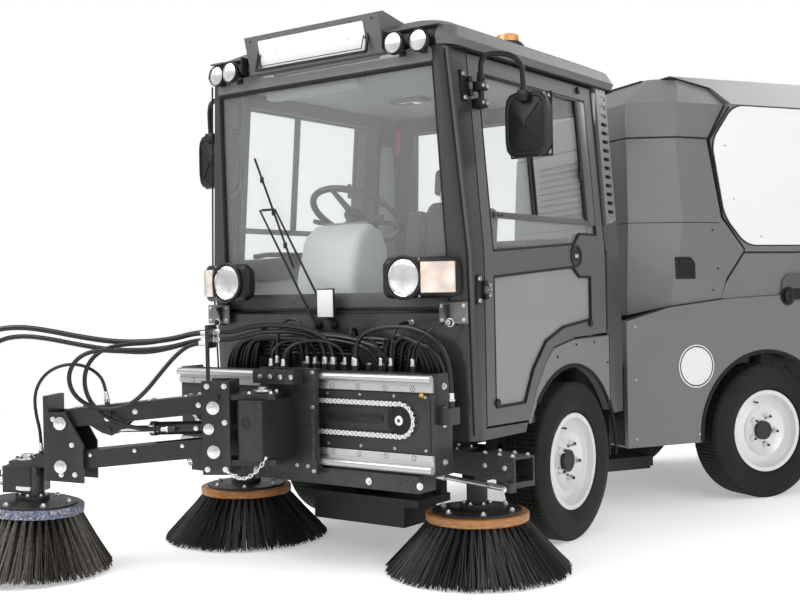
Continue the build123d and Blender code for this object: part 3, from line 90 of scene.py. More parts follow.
class Module(Enum):
    """The axes that a piece is modelled in."""

    FRONT = "front_module"
    REAR = "rear_module"
    BOOM = "boom"
    LEFT_ARM = "left broom arm"
    RIGHT_ARM = "right broom arm"

    @property
    def matrix(self) -> Matrix:
        """Millimetres in these axes to metres in the row frame.

        Returns:
            The matrix between the two.
        """
        turns: dict[Module, tuple[Point, float]] = {
            Module.FRONT: ((0.0, 0.0, 0.0), 0.0),
            Module.REAR: ((0.0, 905.0, 0.0), -30.5),
            Module.BOOM: ((-41.0, -1090.0, 0.0), 208.6),
            Module.LEFT_ARM: ((384.0, -579.0, 0.0), -15.0),
            Module.RIGHT_ARM: ((-384.0, -579.0, 0.0), 195.0),
        }
        origin, heading = turns[self]
        return (Matrix.Scale(0.001, 4) @ Matrix.Translation(-Vector(BASE)) @ Matrix.Translation(origin)
                @ Matrix.Rotation(radians(heading), 4, "Z"))


# ---- finishes
class Sheet:
    """A node tree being filled in: adds nodes and joins their sockets."""

    def __init__(self, tree: bpy.types.NodeTree) -> None:
        """Starts on a tree."""
        self.tree = tree

    def add(self, kind: str, inputs: dict | None = None, **settings: object) -> Node:
        """Adds one node.

        Args:
            kind: the node's class, without its ShaderNode prefix.
            inputs: values or sockets for its inputs, by name or number.
            settings: its own properties.

        Returns:
            The node.
        """
        name = kind if kind.startswith("Node") else "ShaderNode" + kind
        node = self.tree.nodes.new(name)
        for key, value in settings.items():
            setattr(node, key, value)
        self.feed(node, inputs or {})
        return node

    def feed(self, node: Node, inputs: dict) -> None:
        """Sets a node's inputs to values, or joins them to sockets.

        Args:
            node: the node.
            inputs: values or sockets, by the input's name or number.
        """
        for key, value in inputs.items():
            if isinstance(value, Socket):
                self.tree.links.new(value, node.inputs[key])
            else:
                node.inputs[key].default_value = value

    def math(self, operation: str, first: object, second: object = 0.0, clamp: bool = False) -> Socket:
        """One step of arithmetic; returns its result socket."""
        return self.add("Math", {0: first, 1: second}, operation=operation, use_clamp=clamp).outputs[0]

    def mix(self, share: object, first: object, second: object, blend: str = "MIX") -> Socket:
        """Mixes two colours; returns the mixed colour's socket."""
        return self.add("Mix", {0: share, 6: first, 7: second}, data_type="RGBA", blend_type=blend,
                        clamp_factor=True).outputs[2]

    def span(self, value: object, low: float, high: float, to_low: float = 0.0, to_high: float = 1.0) -> Socket:
        """Maps a value from one range to another, clamped."""
        return self.add("MapRange", {0: value, 1: low, 2: high, 3: to_low, 4: to_high}).outputs[0]

    def noise(self, scale: float, detail: float = 2.0, where: object = None) -> Socket:
        """A cloudy value over the object's own coordinates."""
        place = where or self.add("TexCoord").outputs["Object"]
        return self.add("TexNoise", {"Vector": place, "Scale": scale, "Detail": detail}).outputs[0]

    def bump(self, height: Socket, strength: object, distance: float = 0.001) -> Socket:
        """A normal that follows a height."""
        return self.add("Bump", {"Distance": distance, "Strength": strength, "Height": height}).outputs[0]


def rgba(colour: Colour, shade: float = 1.0) -> tuple[float, float, float, float]:
    """A colour with full alpha, darkened to a share of itself."""
    return (*(shade * c for c in colour), 1.0)


def worn_surface() -> bpy.types.NodeTree:
    """Paint or moulding in use: grain, faint clouds, road film low down and on level faces, and paler edges.

    Returns:
        The node group, with Color, Roughness and Normal to give a shader.
    """
    group = bpy.data.node_groups.get("worn surface")
    if group:
        return group
    group = bpy.data.node_groups.new("worn surface", "ShaderNodeTree")
    for label, value in (("Colour", (0.5, 0.5, 0.5, 1.0)), ("Edge colour", (0.6, 0.6, 0.6, 1.0)), ("Roughness", 0.45),
                         ("Film", 0.3), ("Wear", 0.3), ("Grain", 500.0), ("Bump", 0.05)):
        kind = "NodeSocketColor" if isinstance(value, tuple) else "NodeSocketFloat"
        group.interface.new_socket(label, in_out="INPUT", socket_type=kind).default_value = value
    for label, kind in (("Color", "Color"), ("Roughness", "Float"), ("Normal", "Vector")):
        group.interface.new_socket(label, in_out="OUTPUT", socket_type="NodeSocket" + kind)
    sheet = Sheet(group)
    take = sheet.add("NodeGroupInput").outputs
    give = sheet.add("NodeGroupOutput")
    place = sheet.add("TexCoord").outputs["Object"]
    clouds = sheet.noise(3.1, 5.0, place)
    speckle = sheet.noise(95.0, 3.0, place)
    grain = sheet.add("TexNoise", {"Vector": place, "Detail": 2.0, "Scale": take["Grain"]})
    geometry = sheet.add("NewGeometry")
    height = sheet.add("SeparateXYZ", {0: place}).outputs[2]
    facing = sheet.add("SeparateXYZ", {0: geometry.outputs["Normal"]}).outputs[2]
    low = sheet.span(height, 1.1, 0.1)
    level = sheet.span(facing, 0.5, 1.0, 0.0, 0.8)
    film = sheet.math("ADD", sheet.math("MULTIPLY", low, 0.6), level)
    film = sheet.math("MULTIPLY", sheet.math("ADD", film, 0.12), sheet.span(clouds, 0.35, 0.68))
    film = sheet.math("MULTIPLY", film, take["Film"], True)
    tone = sheet.span(speckle, 0.3, 0.7, 0.985, 1.015)
    broad = sheet.span(clouds, 0.3, 0.7, 0.98, 1.02)
    shade = sheet.add("CombineColor", {0: tone, 1: tone, 2: tone}).outputs[0]
    drift = sheet.add("CombineColor", {0: broad, 1: broad, 2: broad}).outputs[0]
    base = sheet.mix(1.0, take["Colour"], shade, "MULTIPLY")
    base = sheet.mix(1.0, base, drift, "MULTIPLY")
    edge = sheet.span(geometry.outputs["Pointiness"], 0.515, 0.57)
    edge = sheet.math("MULTIPLY", sheet.math("MULTIPLY", edge, sheet.span(speckle, 0.35, 0.6)), take["Wear"], True)
    base = sheet.mix(edge, base, take["Edge colour"])
    base = sheet.mix(film, base, (0.33, 0.31, 0.28, 1.0))
    rough = sheet.math("ADD", take["Roughness"], sheet.span(speckle, 0.3, 0.7, -0.05, 0.05))
    rough = sheet.math("ADD", rough, sheet.math("MULTIPLY", film, 0.35), True)
    sheet.feed(give, {"Color": base, "Roughness": rough,
                      "Normal": sheet.bump(grain.outputs[0], take["Bump"], 0.002)})
    return group


@dataclass(frozen=True)
class Finish:
    """What a surface is coated with or moulded from."""

    name: str
    colour: Colour
    edge: Colour = (0.5, 0.5, 0.5)
    roughness: float = 0.45
    metallic: float = 0.0
    coat: float = 0.0
    specular: float = 0.5
    film: float = 0.2
    wear: float = 0.25
    grain: float = 500.0
    bump: float = 0.05

    def material(self) -> bpy.types.Material:
        """Builds the material once.

        Returns:
            The material, which later calls get again.
        """
        made = bpy.data.materials.get(self.name)
        if made:
            return made
        made = bpy.data.materials.new(self.name)
        made.use_nodes = True
        made.diffuse_color = rgba(self.colour)
        sheet = Sheet(made.node_tree)
        shader = made.node_tree.nodes["Principled BSDF"]
        self.shade(sheet, shader)
        return made

    def shade(self, sheet: Sheet, shader: Node) -> None:
        """Joins the worn surface to the shader.

        Args:
            sheet: the material's nodes.
            shader: its main shader.
        """
        worn = sheet.add("Group", node_tree=worn_surface())
        sheet.feed(worn, {"Colour": rgba(self.colour), "Edge colour": rgba(self.edge), "Roughness": self.roughness,
                          "Film": self.film, "Wear": self.wear, "Grain": self.grain, "Bump": self.bump})
        sheet.feed(shader, {"Base Color": worn.outputs["Color"], "Roughness": worn.outputs["Roughness"],
                            "Normal": worn.outputs["Normal"], "Metallic": self.metallic,
                            "Specular IOR Level": self.specular, "Coat Weight": self.coat, "Coat Roughness": 0.12})


@dataclass(frozen=True)
class ClearGlass(Finish):
    """Tinted safety glass: clear to light, with a few faint smears in its gloss, and a pale diffuse layer on it that is
    a painted reflection.
    """

    painted_reflection_veil: float = 0.0

    def shade(self, sheet: Sheet, shader: Node) -> None:
        """Makes the shader transmit light, and lets light through to what is behind.

        Args:
            sheet: the material's nodes.
            shader: its main shader.
        """
        smear = sheet.span(sheet.noise(6.0, 6.0), 0.45, 0.75, 0.0, 0.06)
        tint = sheet.mix(sheet.span(sheet.noise(2.0, 2.0), 0.3, 0.7), rgba(self.colour), rgba(self.colour, 0.97))
        # Transmission below 1 leaves a diffuse layer in the glass's colour: a painted reflection on the glass.
        sheet.feed(shader, {"Roughness": smear, "Base Color": tint, "Transmission Weight": 1.0 - self.painted_reflection_veil,
                            "IOR": 1.2})
        light = sheet.add("LightPath").outputs["Is Shadow Ray"]
        clear = sheet.add("BsdfTransparent", {"Color": rgba(self.colour)})
        mixed = sheet.add("MixShader", {0: light, 1: shader.outputs[0], 2: clear.outputs[0]})
        sheet.feed(sheet.tree.nodes["Material Output"], {"Surface": mixed.outputs[0]})


@dataclass(frozen=True)
class Lens(Finish):
    """Fluted lamp glass over a bright reflector."""

    flutes: float = 260.0

    def shade(self, sheet: Sheet, shader: Node) -> None:
        """Gives the lens its flutes and the reflector's bright and dark patches, which are painted reflections.

        Args:
            sheet: the material's nodes.
            shader: its main shader.
        """
        place = sheet.add("TexCoord").outputs["Object"]
        # The Voronoi patches darken the lens colour in places: painted reflections in the reflector. They also vary the
        # roughness.
        painted_reflection_patch = sheet.add("TexVoronoi", {"Vector": place, "Scale": 20.0}, feature="F1").outputs["Distance"]
        dark = sheet.span(painted_reflection_patch, 0.2, 0.8, 0.0, 0.4)
        colour = sheet.mix(dark, rgba(self.colour), rgba(self.colour, 0.3))
        wave = sheet.add("TexWave", {"Vector": place, "Scale": self.flutes / 20, "Distortion": 0.4},
                         bands_direction="X").outputs["Fac"]
        sheet.feed(shader, {"Base Color": colour, "Normal": sheet.bump(wave, 0.25, 0.002),
                            "Roughness": sheet.span(painted_reflection_patch, 0.2, 0.8, 0.05, 0.2), "Metallic": self.metallic,
                            "Coat Weight": 1.0, "Coat Roughness": 0.03})


@dataclass(frozen=True)
class Grained(Finish):
    """Timber: growth rings stretched along the grain."""

    def shade(self, sheet: Sheet, shader: Node) -> None:
        """Streaks the colour and lifts the grain.

        Args:
            sheet: the material's nodes.
            shader: its main shader.
        """
        place = sheet.add("Mapping", {"Vector": sheet.add("TexCoord").outputs["Object"], "Scale": (30.0, 30.0, 260.0)})
        streak = sheet.add("TexNoise", {"Vector": place.outputs[0], "Scale": 1.0, "Detail": 5.0}).outputs[0]
        colour = sheet.mix(sheet.span(streak, 0.35, 0.65), rgba(self.colour), rgba(self.edge))
        rough = sheet.span(streak, 0.3, 0.7, self.roughness - 0.1, self.roughness + 0.1)
        sheet.feed(shader, {"Base Color": colour, "Normal": sheet.bump(streak, 0.4), "Roughness": rough})


@dataclass(frozen=True)
class Flecked(Finish):
    """Recycled board pressed from coloured chips."""

    def shade(self, sheet: Sheet, shader: Node) -> None:
        """Scatters the chips' colours.

        Args:
            sheet: the material's nodes.
            shader: its main shader.
        """
        place = sheet.add("TexCoord").outputs["Object"]
        chips = sheet.add("TexVoronoi", {"Vector": place, "Scale": 210.0})
        value = sheet.add("SeparateColor", {0: chips.outputs["Color"]}).outputs[0]
        colour = sheet.mix(sheet.span(value, 0.35, 0.6), rgba(self.colour), rgba(self.edge))
        colour = sheet.mix(sheet.span(value, 0.86, 0.93), colour, (0.55, 0.42, 0.35, 1.0))
        sheet.feed(shader, {"Base Color": colour, "Normal": sheet.bump(chips.outputs["Distance"], 0.5),
                            "Roughness": sheet.span(value, 0.0, 1.0, 0.5, 0.8)})


@dataclass(frozen=True)
class Cloth(Finish):
    """Woven seat cover."""

    def shade(self, sheet: Sheet, shader: Node) -> None:
        """Weaves two crossing threads.

        Args:
            sheet: the material's nodes.
            shader: its main shader.
        """
        threads = {"Vector": sheet.add("TexCoord").outputs["Object"], "Scale": 150.0, "Distortion": 0.6}
        warp, weft = (sheet.add("TexWave", threads, bands_direction=way).outputs["Fac"] for way in "XZ")
        weave = sheet.math("MULTIPLY", warp, weft)
        sheet.feed(shader, {"Base Color": sheet.mix(weave, rgba(self.colour, 0.6), rgba(self.colour)),
                            "Normal": sheet.bump(weave, 0.5), "Roughness": sheet.span(weave, 0.0, 1.0, 0.95, 0.8),
                            "Sheen Weight": 0.2})


GREY_PAINT = Finish("grey body paint", (0.142, 0.145, 0.143), (0.24, 0.24, 0.24), 0.4, coat=0.25, film=0.1, wear=0.06,
                    grain=420.0, bump=0.01)
DOOR_PAINT = Finish("door grey paint", (0.072, 0.073, 0.072), (0.15, 0.15, 0.15), 0.42, coat=0.2, film=0.05,
                    wear=0.06, grain=420.0, bump=0.01)
POST_PAINT = Finish("cab post paint", (0.026, 0.0265, 0.0265), (0.09, 0.09, 0.09), 0.38, coat=0.3, film=0.04,
                    wear=0.08, grain=500.0, bump=0.01)
DARK_PANEL = Finish("dark roof moulding", (0.1, 0.102, 0.102), (0.2, 0.2, 0.2), 0.5, film=0.1, wear=0.08,
                    grain=900.0, bump=0.05)
FRAME_PAINT = Finish("charcoal frame paint", (0.013, 0.0135, 0.014), (0.09, 0.09, 0.09), 0.42, coat=0.1, film=0.05,
                     wear=0.25, grain=700.0, bump=0.05, specular=0.4)
CHASSIS_PAINT = Finish("black chassis paint", (0.007, 0.007, 0.0075), (0.06, 0.06, 0.06), 0.5, film=0.1, wear=0.2,
                       grain=500.0, bump=0.06, specular=0.4)
TRIM = Finish("black moulded trim", (0.0065, 0.0065, 0.007), (0.04, 0.04, 0.04), 0.42, film=0.03, wear=0.08,
              grain=1400.0, bump=0.06, specular=0.35)
SEAL = Finish("rubber seal", (0.005, 0.005, 0.0055), (0.03, 0.03, 0.03), 0.6, film=0.03, wear=0.05, grain=800.0,
              bump=0.04, specular=0.3)
WHITE_PAINT = Finish("white panel paint", (0.76, 0.76, 0.755), (0.7, 0.7, 0.7), 0.38, coat=0.2, film=0.03, wear=0.0,
                     grain=350.0, bump=0.006)
RIM_PAINT = Finish("silver wheel paint", (0.72, 0.72, 0.71), (0.68, 0.68, 0.67), 0.36, metallic=0.35, film=0.08,
                   wear=0.2, grain=900.0, bump=0.04)
BRIGHT = Finish("bright zinc", (0.72, 0.72, 0.71), (0.85, 0.85, 0.84), 0.3, metallic=0.9, film=0.04, wear=0.2,
                grain=900.0, bump=0.03)
RAIL_STEEL = Finish("ground rail steel", (0.5, 0.5, 0.5), (0.8, 0.8, 0.8), 0.34, metallic=0.85, film=0.0,
                    wear=0.0, grain=260.0, bump=0.0)
WHEEL_STEEL = Finish("bright plated steel", (0.82, 0.81, 0.8), (0.85, 0.85, 0.84), 0.34, metallic=0.6, film=0.02,
                     wear=0.1, grain=900.0, bump=0.02)
BRASS = Finish("brass", (0.55, 0.33, 0.1), (0.75, 0.55, 0.25), 0.32, metallic=1.0, film=0.08, grain=800.0)
TYRE = Finish("tyre rubber", (0.0065, 0.0064, 0.0064), (0.035, 0.035, 0.034), 0.7, film=0.06, wear=0.3, grain=650.0,
              bump=0.2, specular=0.3)
HOSE = Finish("hose rubber", (0.0035, 0.0035, 0.004), (0.02, 0.02, 0.02), 0.34, film=0.0, wear=0.05, grain=1500.0,
              bump=0.05)
BRISTLE = Finish("black bristle", (0.007, 0.0068, 0.0066), (0.07, 0.065, 0.06), 0.55, film=0.12, wear=0.25,
                 grain=900.0, bump=0.1, specular=0.35)
WIRE = Finish("flat steel bristle", (0.03, 0.027, 0.024), (0.16, 0.14, 0.12), 0.45, metallic=0.4, film=0.12, wear=0.4,
              grain=800.0, bump=0.1)
HEADER_GLASS = Finish("printed glass edge", (0.15, 0.153, 0.155), (0.2, 0.2, 0.2), 0.12, coat=0.5, film=0.0,
                      wear=0.0, grain=300.0, bump=0.0)
INNER_GREY = Finish("cab lining", (0.33, 0.34, 0.34), (0.4, 0.4, 0.4), 0.62, film=0.03, wear=0.05, grain=1200.0,
                    bump=0.1)
INNER_DARK = Finish("dark cab lining", (0.085, 0.09, 0.093), (0.2, 0.2, 0.2), 0.6, film=0.03, wear=0.05, grain=1200.0,
                    bump=0.1)
ENGINE_PAINT = Finish("engine grey", (0.1, 0.1, 0.1), (0.3, 0.3, 0.3), 0.5, metallic=0.3, film=0.5, wear=0.3)
PLATE = Finish("blank plate white", (0.78, 0.78, 0.78), (0.7, 0.7, 0.7), 0.35, film=0.02, wear=0.0, grain=700.0,
               bump=0.01)
RED_TRIM = Finish("red moulding", (0.5, 0.05, 0.03), (0.6, 0.2, 0.15), 0.4, film=0.0, wear=0.05)
MIRROR = Finish("mirror glass", (0.85, 0.86, 0.87), (0.9, 0.9, 0.9), 0.03, metallic=1.0, film=0.0, wear=0.0,
                grain=100.0, bump=0.002)
# The veil on both glasses is a painted reflection: faint on the cab glass, strong and grey on the door's lower pane.
GLASS = ClearGlass("tinted cab glass", (0.93, 0.945, 0.945), roughness=0.02, painted_reflection_veil=0.06)
PANE_GLASS = ClearGlass("door pane with painted reflection", (0.4, 0.41, 0.41), roughness=0.05, painted_reflection_veil=0.55)
CLEAR_LENS = Lens("clear lamp glass", (0.88, 0.88, 0.88), roughness=0.08, metallic=0.6)
TURN_LENS = Lens("turn lamp glass", (0.86, 0.72, 0.63), roughness=0.12, flutes=420.0)
AMBER_LENS = Lens("amber lamp glass", (0.85, 0.34, 0.06), roughness=0.15, flutes=420.0)
RED_LENS = Lens("red lamp glass", (0.55, 0.02, 0.015), roughness=0.15, flutes=420.0)
WOOD = Grained("beech ring", (0.47, 0.22, 0.075), (0.3, 0.12, 0.035), 0.5)
CHIPS = Flecked("pressed chip ring", (0.045, 0.065, 0.12), (0.2, 0.24, 0.33), 0.7)
SEAT_CLOTH = Cloth("seat cloth", (0.05, 0.052, 0.055), roughness=0.9)


# ---- building
def turned_to(direction: Point) -> Matrix:
    """The turn that brings the Z axis to a direction."""
    return Vector(UP).rotation_difference(Vector(direction)).to_matrix().to_4x4()


def moved(place: Point) -> Matrix:
    """The move to a place."""
    return Matrix.Translation(place)


def middle(*spans: Flat) -> Point:
    """The middle of a box from its spans."""
    return Vector([(low + high) / 2 for low, high in spans])


def block(x: Flat, y: Flat, z: Flat) -> BMesh:
    """A box from its low and high sides.

    Args:
        x, y, z: its low and high sides.

    Returns:
        Its mesh.
    """
    part = bmesh.new()
    size = [abs(high - low) for low, high in (x, y, z)]
    bmesh.ops.create_cube(part, size=1.0, matrix=moved(middle(x, y, z)) @ Matrix.Diagonal((*size, 1.0)))
    return part


def rotated(angle: float, axis: str) -> Matrix:
    """The turn by an angle in degrees about an axis."""
    return Matrix.Rotation(radians(angle), 4, axis)


def tipped(angle: float, pivot: Point) -> Matrix:
    """The turn by an angle in degrees about the line through a pivot along X."""
    return moved(pivot) @ rotated(angle, "X") @ moved(-Vector(pivot))


def around(count: int, radius: float, start: float = 0.0) -> list[Flat]:
    """Points spread evenly round a circle, from a start angle in radians."""
    turns = [tau * n / count + start for n in range(count)]
    return [(radius * cos(turn), radius * sin(turn)) for turn in turns]


def shown(name: str, data: bpy.types.ID) -> bpy.types.Object:
    """Makes an object and puts it in the scene.

    Args:
        name: the object's name.
        data: what it shows: a mesh, a camera or a lamp.

    Returns:
        The object.
    """
    item = bpy.data.objects.new(name, data)
    bpy.context.scene.collection.objects.link(item)
    return item


def prism(corners: list[Point], run: Point) -> BMesh:
    """A solid swept straight from a flat outline.

    Args:
        corners: the outline's corners.
        run: how far, and in which direction, it is swept.

    Returns:
        Its mesh.
    """
    part = bmesh.new()
    face = part.faces.new([part.verts.new(corner) for corner in corners])
    swept = bmesh.ops.extrude_face_region(part, geom=[face])["geom"]
    bmesh.ops.translate(part, verts=[item for item in swept if isinstance(item, bmesh.types.BMVert)], vec=run)
    bmesh.ops.recalc_face_normals(part, faces=part.faces)
    return part


def spun(points: list[Point], closed: bool, axis: Point, angle: float, steps: int) -> BMesh:
    """A surface swept by a line that turns about an axis through the origin.

    Args:
        points: the line's corners.
        closed: whether the line goes back to its start.
        axis: the direction of the axis.
        angle: how far it turns, in radians.
        steps: how many steps its round has.

    Returns:
        Its mesh.
    """
    part = bmesh.new()
    corners = [part.verts.new(point) for point in points]
    edges = [part.edges.new(pair) for pair in zip(corners, corners[1:] + corners[:1 if closed else 0])]
    bmesh.ops.spin(part, geom=corners + edges, cent=(0, 0, 0), axis=axis, dvec=(0, 0, 0), angle=angle, steps=steps,
                   use_merge=angle == tau, use_normal_flip=False, use_duplicate=False)
    return part


def bevelled(part: BMesh, edges: list[bmesh.types.BMEdge], width: float, segments: int) -> None:
    """Bevels some edges of a mesh by a width, in a number of steps."""
    bmesh.ops.bevel(part, geom=edges, offset=width, offset_type="OFFSET", segments=segments, profile=0.5,
                    affect="EDGES", clamp_overlap=True, material=-1)


def smooth_line(name: str, points: list[Point], order: int, resolution: int) -> bpy.types.Curve:
    """A NURBS line that starts and ends on its outer points.

    Args:
        name: the curve's name.
        points: its control points.
        order: 2 for straight runs, 3 for a smooth line.
        resolution: its steps between two points.

    Returns:
        The curve.
    """
    line = bpy.data.curves.new(name, "CURVE")
    line.dimensions = "3D"
    line.resolution_u = resolution
    spline = line.splines.new("NURBS")
    spline.points.add(len(points) - 1)
    for target, place in zip(spline.points, points):
        target.co = (*place, 1.0)
    spline.order_u = order
    spline.use_endpoint_u = True
    return line


class Shape:
    """A piece in the making, in millimetres in the axes of its module."""

    def __init__(self, module: Module = Module.FRONT) -> None:
        """Starts an empty piece.

        Args:
            module: whose axes it is modelled in.
        """
        self.module = module
        self.mesh = bmesh.new()
        self.finishes: list[Finish] = []

    def _slot(self, finish: Finish) -> int:
        """The material slot of a finish, added when new.

        Args:
            finish: the finish.

        Returns:
            The slot's number.
        """
        if finish not in self.finishes:
            self.finishes.append(finish)
        return self.finishes.index(finish)

    def join(self, part: BMesh, finish: Finish, spot: Matrix = Matrix.Identity(4)) -> None:
        """Adds a finished part.

        Args:
            part: the part's mesh, which this uses up.
            finish: what it is coated with.
            spot: its place in the module's axes.
        """
        slot = self._slot(finish)
        for face in part.faces:
            face.material_index = slot
            face.smooth = True
        part.transform(spot)
        bmesh.ops.recalc_face_normals(part, faces=part.faces)
        scrap = bpy.data.meshes.new("part")
        part.to_mesh(scrap)
        part.free()
        self.mesh.from_mesh(scrap)
        bpy.data.meshes.remove(scrap)

    @staticmethod
    def soften(part: BMesh, width: float, segments: int = 2, angle: float = 30.0) -> None:
        """Rounds a part's sharp edges.

        Args:
            part: the part's mesh.
            width: the width of the rounding, none where it is 0.
            segments: its steps.
            angle: the angle in degrees above which an edge is sharp.
        """
        if width <= 0:
            return
        sharp = [edge for edge in part.edges if edge.is_manifold and edge.calc_face_angle(0.0) > radians(angle)]
        bevelled(part, sharp, width, segments)

    def box(self, x: Flat, y: Flat, z: Flat, finish: Finish, round_off: float = 3.0,
            spot: Matrix = Matrix.Identity(4)) -> None:
        """Adds a box with rounded edges.

        Args:
            x, y, z: its low and high sides.
            finish: what it is coated with.
            round_off: the width of its edges' rounding.
            spot: a further move of the box.
        """
        part = block(x, y, z)
        self.soften(part, min(round_off, *(0.45 * abs(high - low) for low, high in (x, y, z))))
        self.join(part, finish, spot)

    def rod(self, start: Point, end: Point, radius: float, finish: Finish, end_radius: float | None = None,
            sides: int = 24, round_off: float = 0.0) -> None:
        """Adds a round or many-sided bar from start to end.

        Args:
            start, end: the middles of its ends.
            radius: its radius at the start.
            finish: what it is coated with.
            end_radius: its radius at the end, where that differs.
            sides: how many sides it has.
            round_off: the width of its rims' rounding.
        """
        run = Vector(end) - Vector(start)
        spot = moved((Vector(start) + Vector(end)) / 2) @ turned_to(run)
        part = bmesh.new()
        bmesh.ops.create_cone(part, cap_ends=True, cap_tris=False, segments=sides, radius1=radius,
                              radius2=radius if end_radius is None else end_radius, depth=run.length)
        if round_off:
            self.soften(part, round_off, angle=50.0)
        self.join(part, finish, spot)

    def plate(self, outline: list[Flat], span: Flat, finish: Finish, across: str = "x", round_off: float = 1.5,
              corner: float = 0.0) -> None:
        """Adds a plate cut to an outline.

        Args:
            outline: its corners, in the two axes other than across.
            span: its low and high faces along across.
            finish: what it is coated with.
            across: the axis of its thickness, x or y.
            round_off: the width of its edges' rounding.
            corner: the rounding of its corners, seen flat.
        """
        axis = Vector((across == "x", across == "y", 0))
        spots = [(span[0], a, b) if across == "x" else (a, span[0], b) for a, b in outline]
        part = prism(spots, axis * (span[1] - span[0]))
        if corner:
            posts = [edge for edge in part.edges
                     if abs((edge.verts[0].co - edge.verts[1].co).normalized().dot(axis)) > 0.99]
            bevelled(part, posts, corner, 6)
        self.soften(part, round_off)
        self.join(part, finish)

    def turned(self, profile: list[Flat], finish: Finish, foot: Point = (0.0, 0.0, 0.0),
               along: Point = (0.0, 0.0, 1.0), steps: int = 48) -> None:
        """Adds a shape turned on a lathe.

        Args:
            profile: radius and height of each corner of its section, closed where the first repeats as the last.
            finish: what it is coated with.
            foot: the point at height 0 on its axis.
            along: the direction of its axis.
            steps: how many steps its round has.
        """
        closed = profile[0] == profile[-1]
        points = [(radius, 0.0, height) for radius, height in (profile[:-1] if closed else profile)]
        part = spun(points, closed, UP, tau, steps)
        bmesh.ops.remove_doubles(part, verts=part.verts, dist=0.01)
        self.join(part, finish, moved(foot) @ turned_to(along))

    def pipe(self, points: list[Point], radius: float, finish: Finish, sides: int = 12) -> None:
        """Adds a bent bar or tube along a smooth line.

        Args:
            points: the control points of its line.
            radius: its radius.
            finish: what it is coated with.
            sides: how many sides it has, a multiple of 4 near enough.
        """
        line = smooth_line("bent bar", points, 3, 8)
        line.bevel_depth = radius
        line.bevel_resolution = sides // 4
        line.use_fill_caps = True
        holder = bpy.data.objects.new("bent bar", line)
        scrap = bpy.data.meshes.new_from_object(holder)
        part = bmesh.new()
        part.from_mesh(scrap)
        bmesh.ops.remove_doubles(part, verts=part.verts, dist=0.01)
        bpy.data.objects.remove(holder)
        bpy.data.curves.remove(line)
        bpy.data.meshes.remove(scrap)
        self.join(part, finish)

    def bead(self, points: list[Point], radius: float, finish: Finish, closed: bool = True) -> None:
        """Adds a round bead in straight runs, which goes back to its start where it is closed.

        Args:
            points: its corners.
            radius: its radius.
            finish: what it is made of.
            closed: whether it goes back to its start.
        """
        line = [*points, points[0]] if closed else points
        for start, end in zip(line, line[1:]):
            self.rod(start, end, radius, finish, sides=8)
            ball = bmesh.new()
            bmesh.ops.create_icosphere(ball, subdivisions=1, radius=radius)
            self.join(ball, finish, moved(end))

    def arc(self, profile: list[Flat], finish: Finish, centre: Point, side: int, start: float, sweep: float,
            steps: int) -> None:
        """Adds a part turn of a closed section about an axis that runs to the side.

        Args:
            profile: radius and height along the axis of each corner of its section.
            finish: what it is made of.
            centre: the point at height 0 on its axis.
            side: the side that its heights are measured to, left or right.
            start: the angle that it starts at, in degrees above the rear.
            sweep: how far it turns, in degrees.
            steps: how many steps its round has.
        """
        first = radians(start)
        points = [(side * height, radius * cos(first), radius * sin(first)) for radius, height in profile]
        part = spun(points, True, (1, 0, 0), radians(sweep), steps)
        bmesh.ops.holes_fill(part, edges=part.edges, sides=len(points))
        self.join(part, finish, moved(centre))

    def bolt(self, foot: Point, along: Point, size: float, finish: Finish = BRIGHT) -> None:
        """Adds a hex head on a washer.

        Args:
            foot: where the washer lies on the surface.
            along: the direction that the head points in.
            size: the radius of the head.
            finish: its finish.
        """
        base = Vector(foot)
        low, top, tip = (base + Vector(along).normalized() * size * share for share in (0.3, 1.1, 1.35))
        self.rod(base, low, size * 1.45, finish, sides=18)
        self.rod(low, top, size, finish, size * 0.96, sides=6)
        self.rod(top, tip, size * 0.55, finish, size * 0.45, sides=10)

    def screw(self, foot: Point, along: Point, size: float, finish: Finish = BRIGHT) -> None:
        """Adds a round socket head.

        Args:
            foot: where it lies on the surface.
            along: the direction that it points in.
            size: its radius.
            finish: its finish.
        """
        low, top, tip = (Vector(foot) + Vector(along).normalized() * size * share for share in (0.0, 0.6, 0.62))
        self.rod(low, top, size, finish, size * 0.8, sides=14)
        self.rod(top, tip, size * 0.45, SEAL, sides=6)

    def finish(self, name: str, body: str | None = None, replaces: tuple[str, ...] = (), smooth: float = 32.0,
               slot: str | None = None) -> bpy.types.Object:
        """Makes the object, in its place and riding on its body.

        Args:
            name: the piece's name.
            body: the body that carries it, where that isn't its module's own.
            replaces: CAD nodes that it stands for.
            smooth: the angle in degrees above which an edge stays sharp.
            slot: the record's material slot that it stands for; not used.

        Returns:
            The object.
        """
        self.mesh.transform(self.module.matrix)
        mesh = bpy.data.meshes.new(name)
        self.mesh.to_mesh(mesh)
        self.mesh.free()
        for item in self.finishes:
            mesh.materials.append(item.material())
        mesh.set_sharp_from_angle(angle=radians(smooth))
        piece = shown(name, mesh)
        body = body or self.module.value
        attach(piece, body)
        if replaces:
            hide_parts(*replaces)
        log.info("%s: %d faces on %s", name, len(mesh.polygons), body)
        return piece


def body_of(node: str) -> str:
    """The body that carries a CAD node."""
    return frame["nodes"][node]["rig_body"]


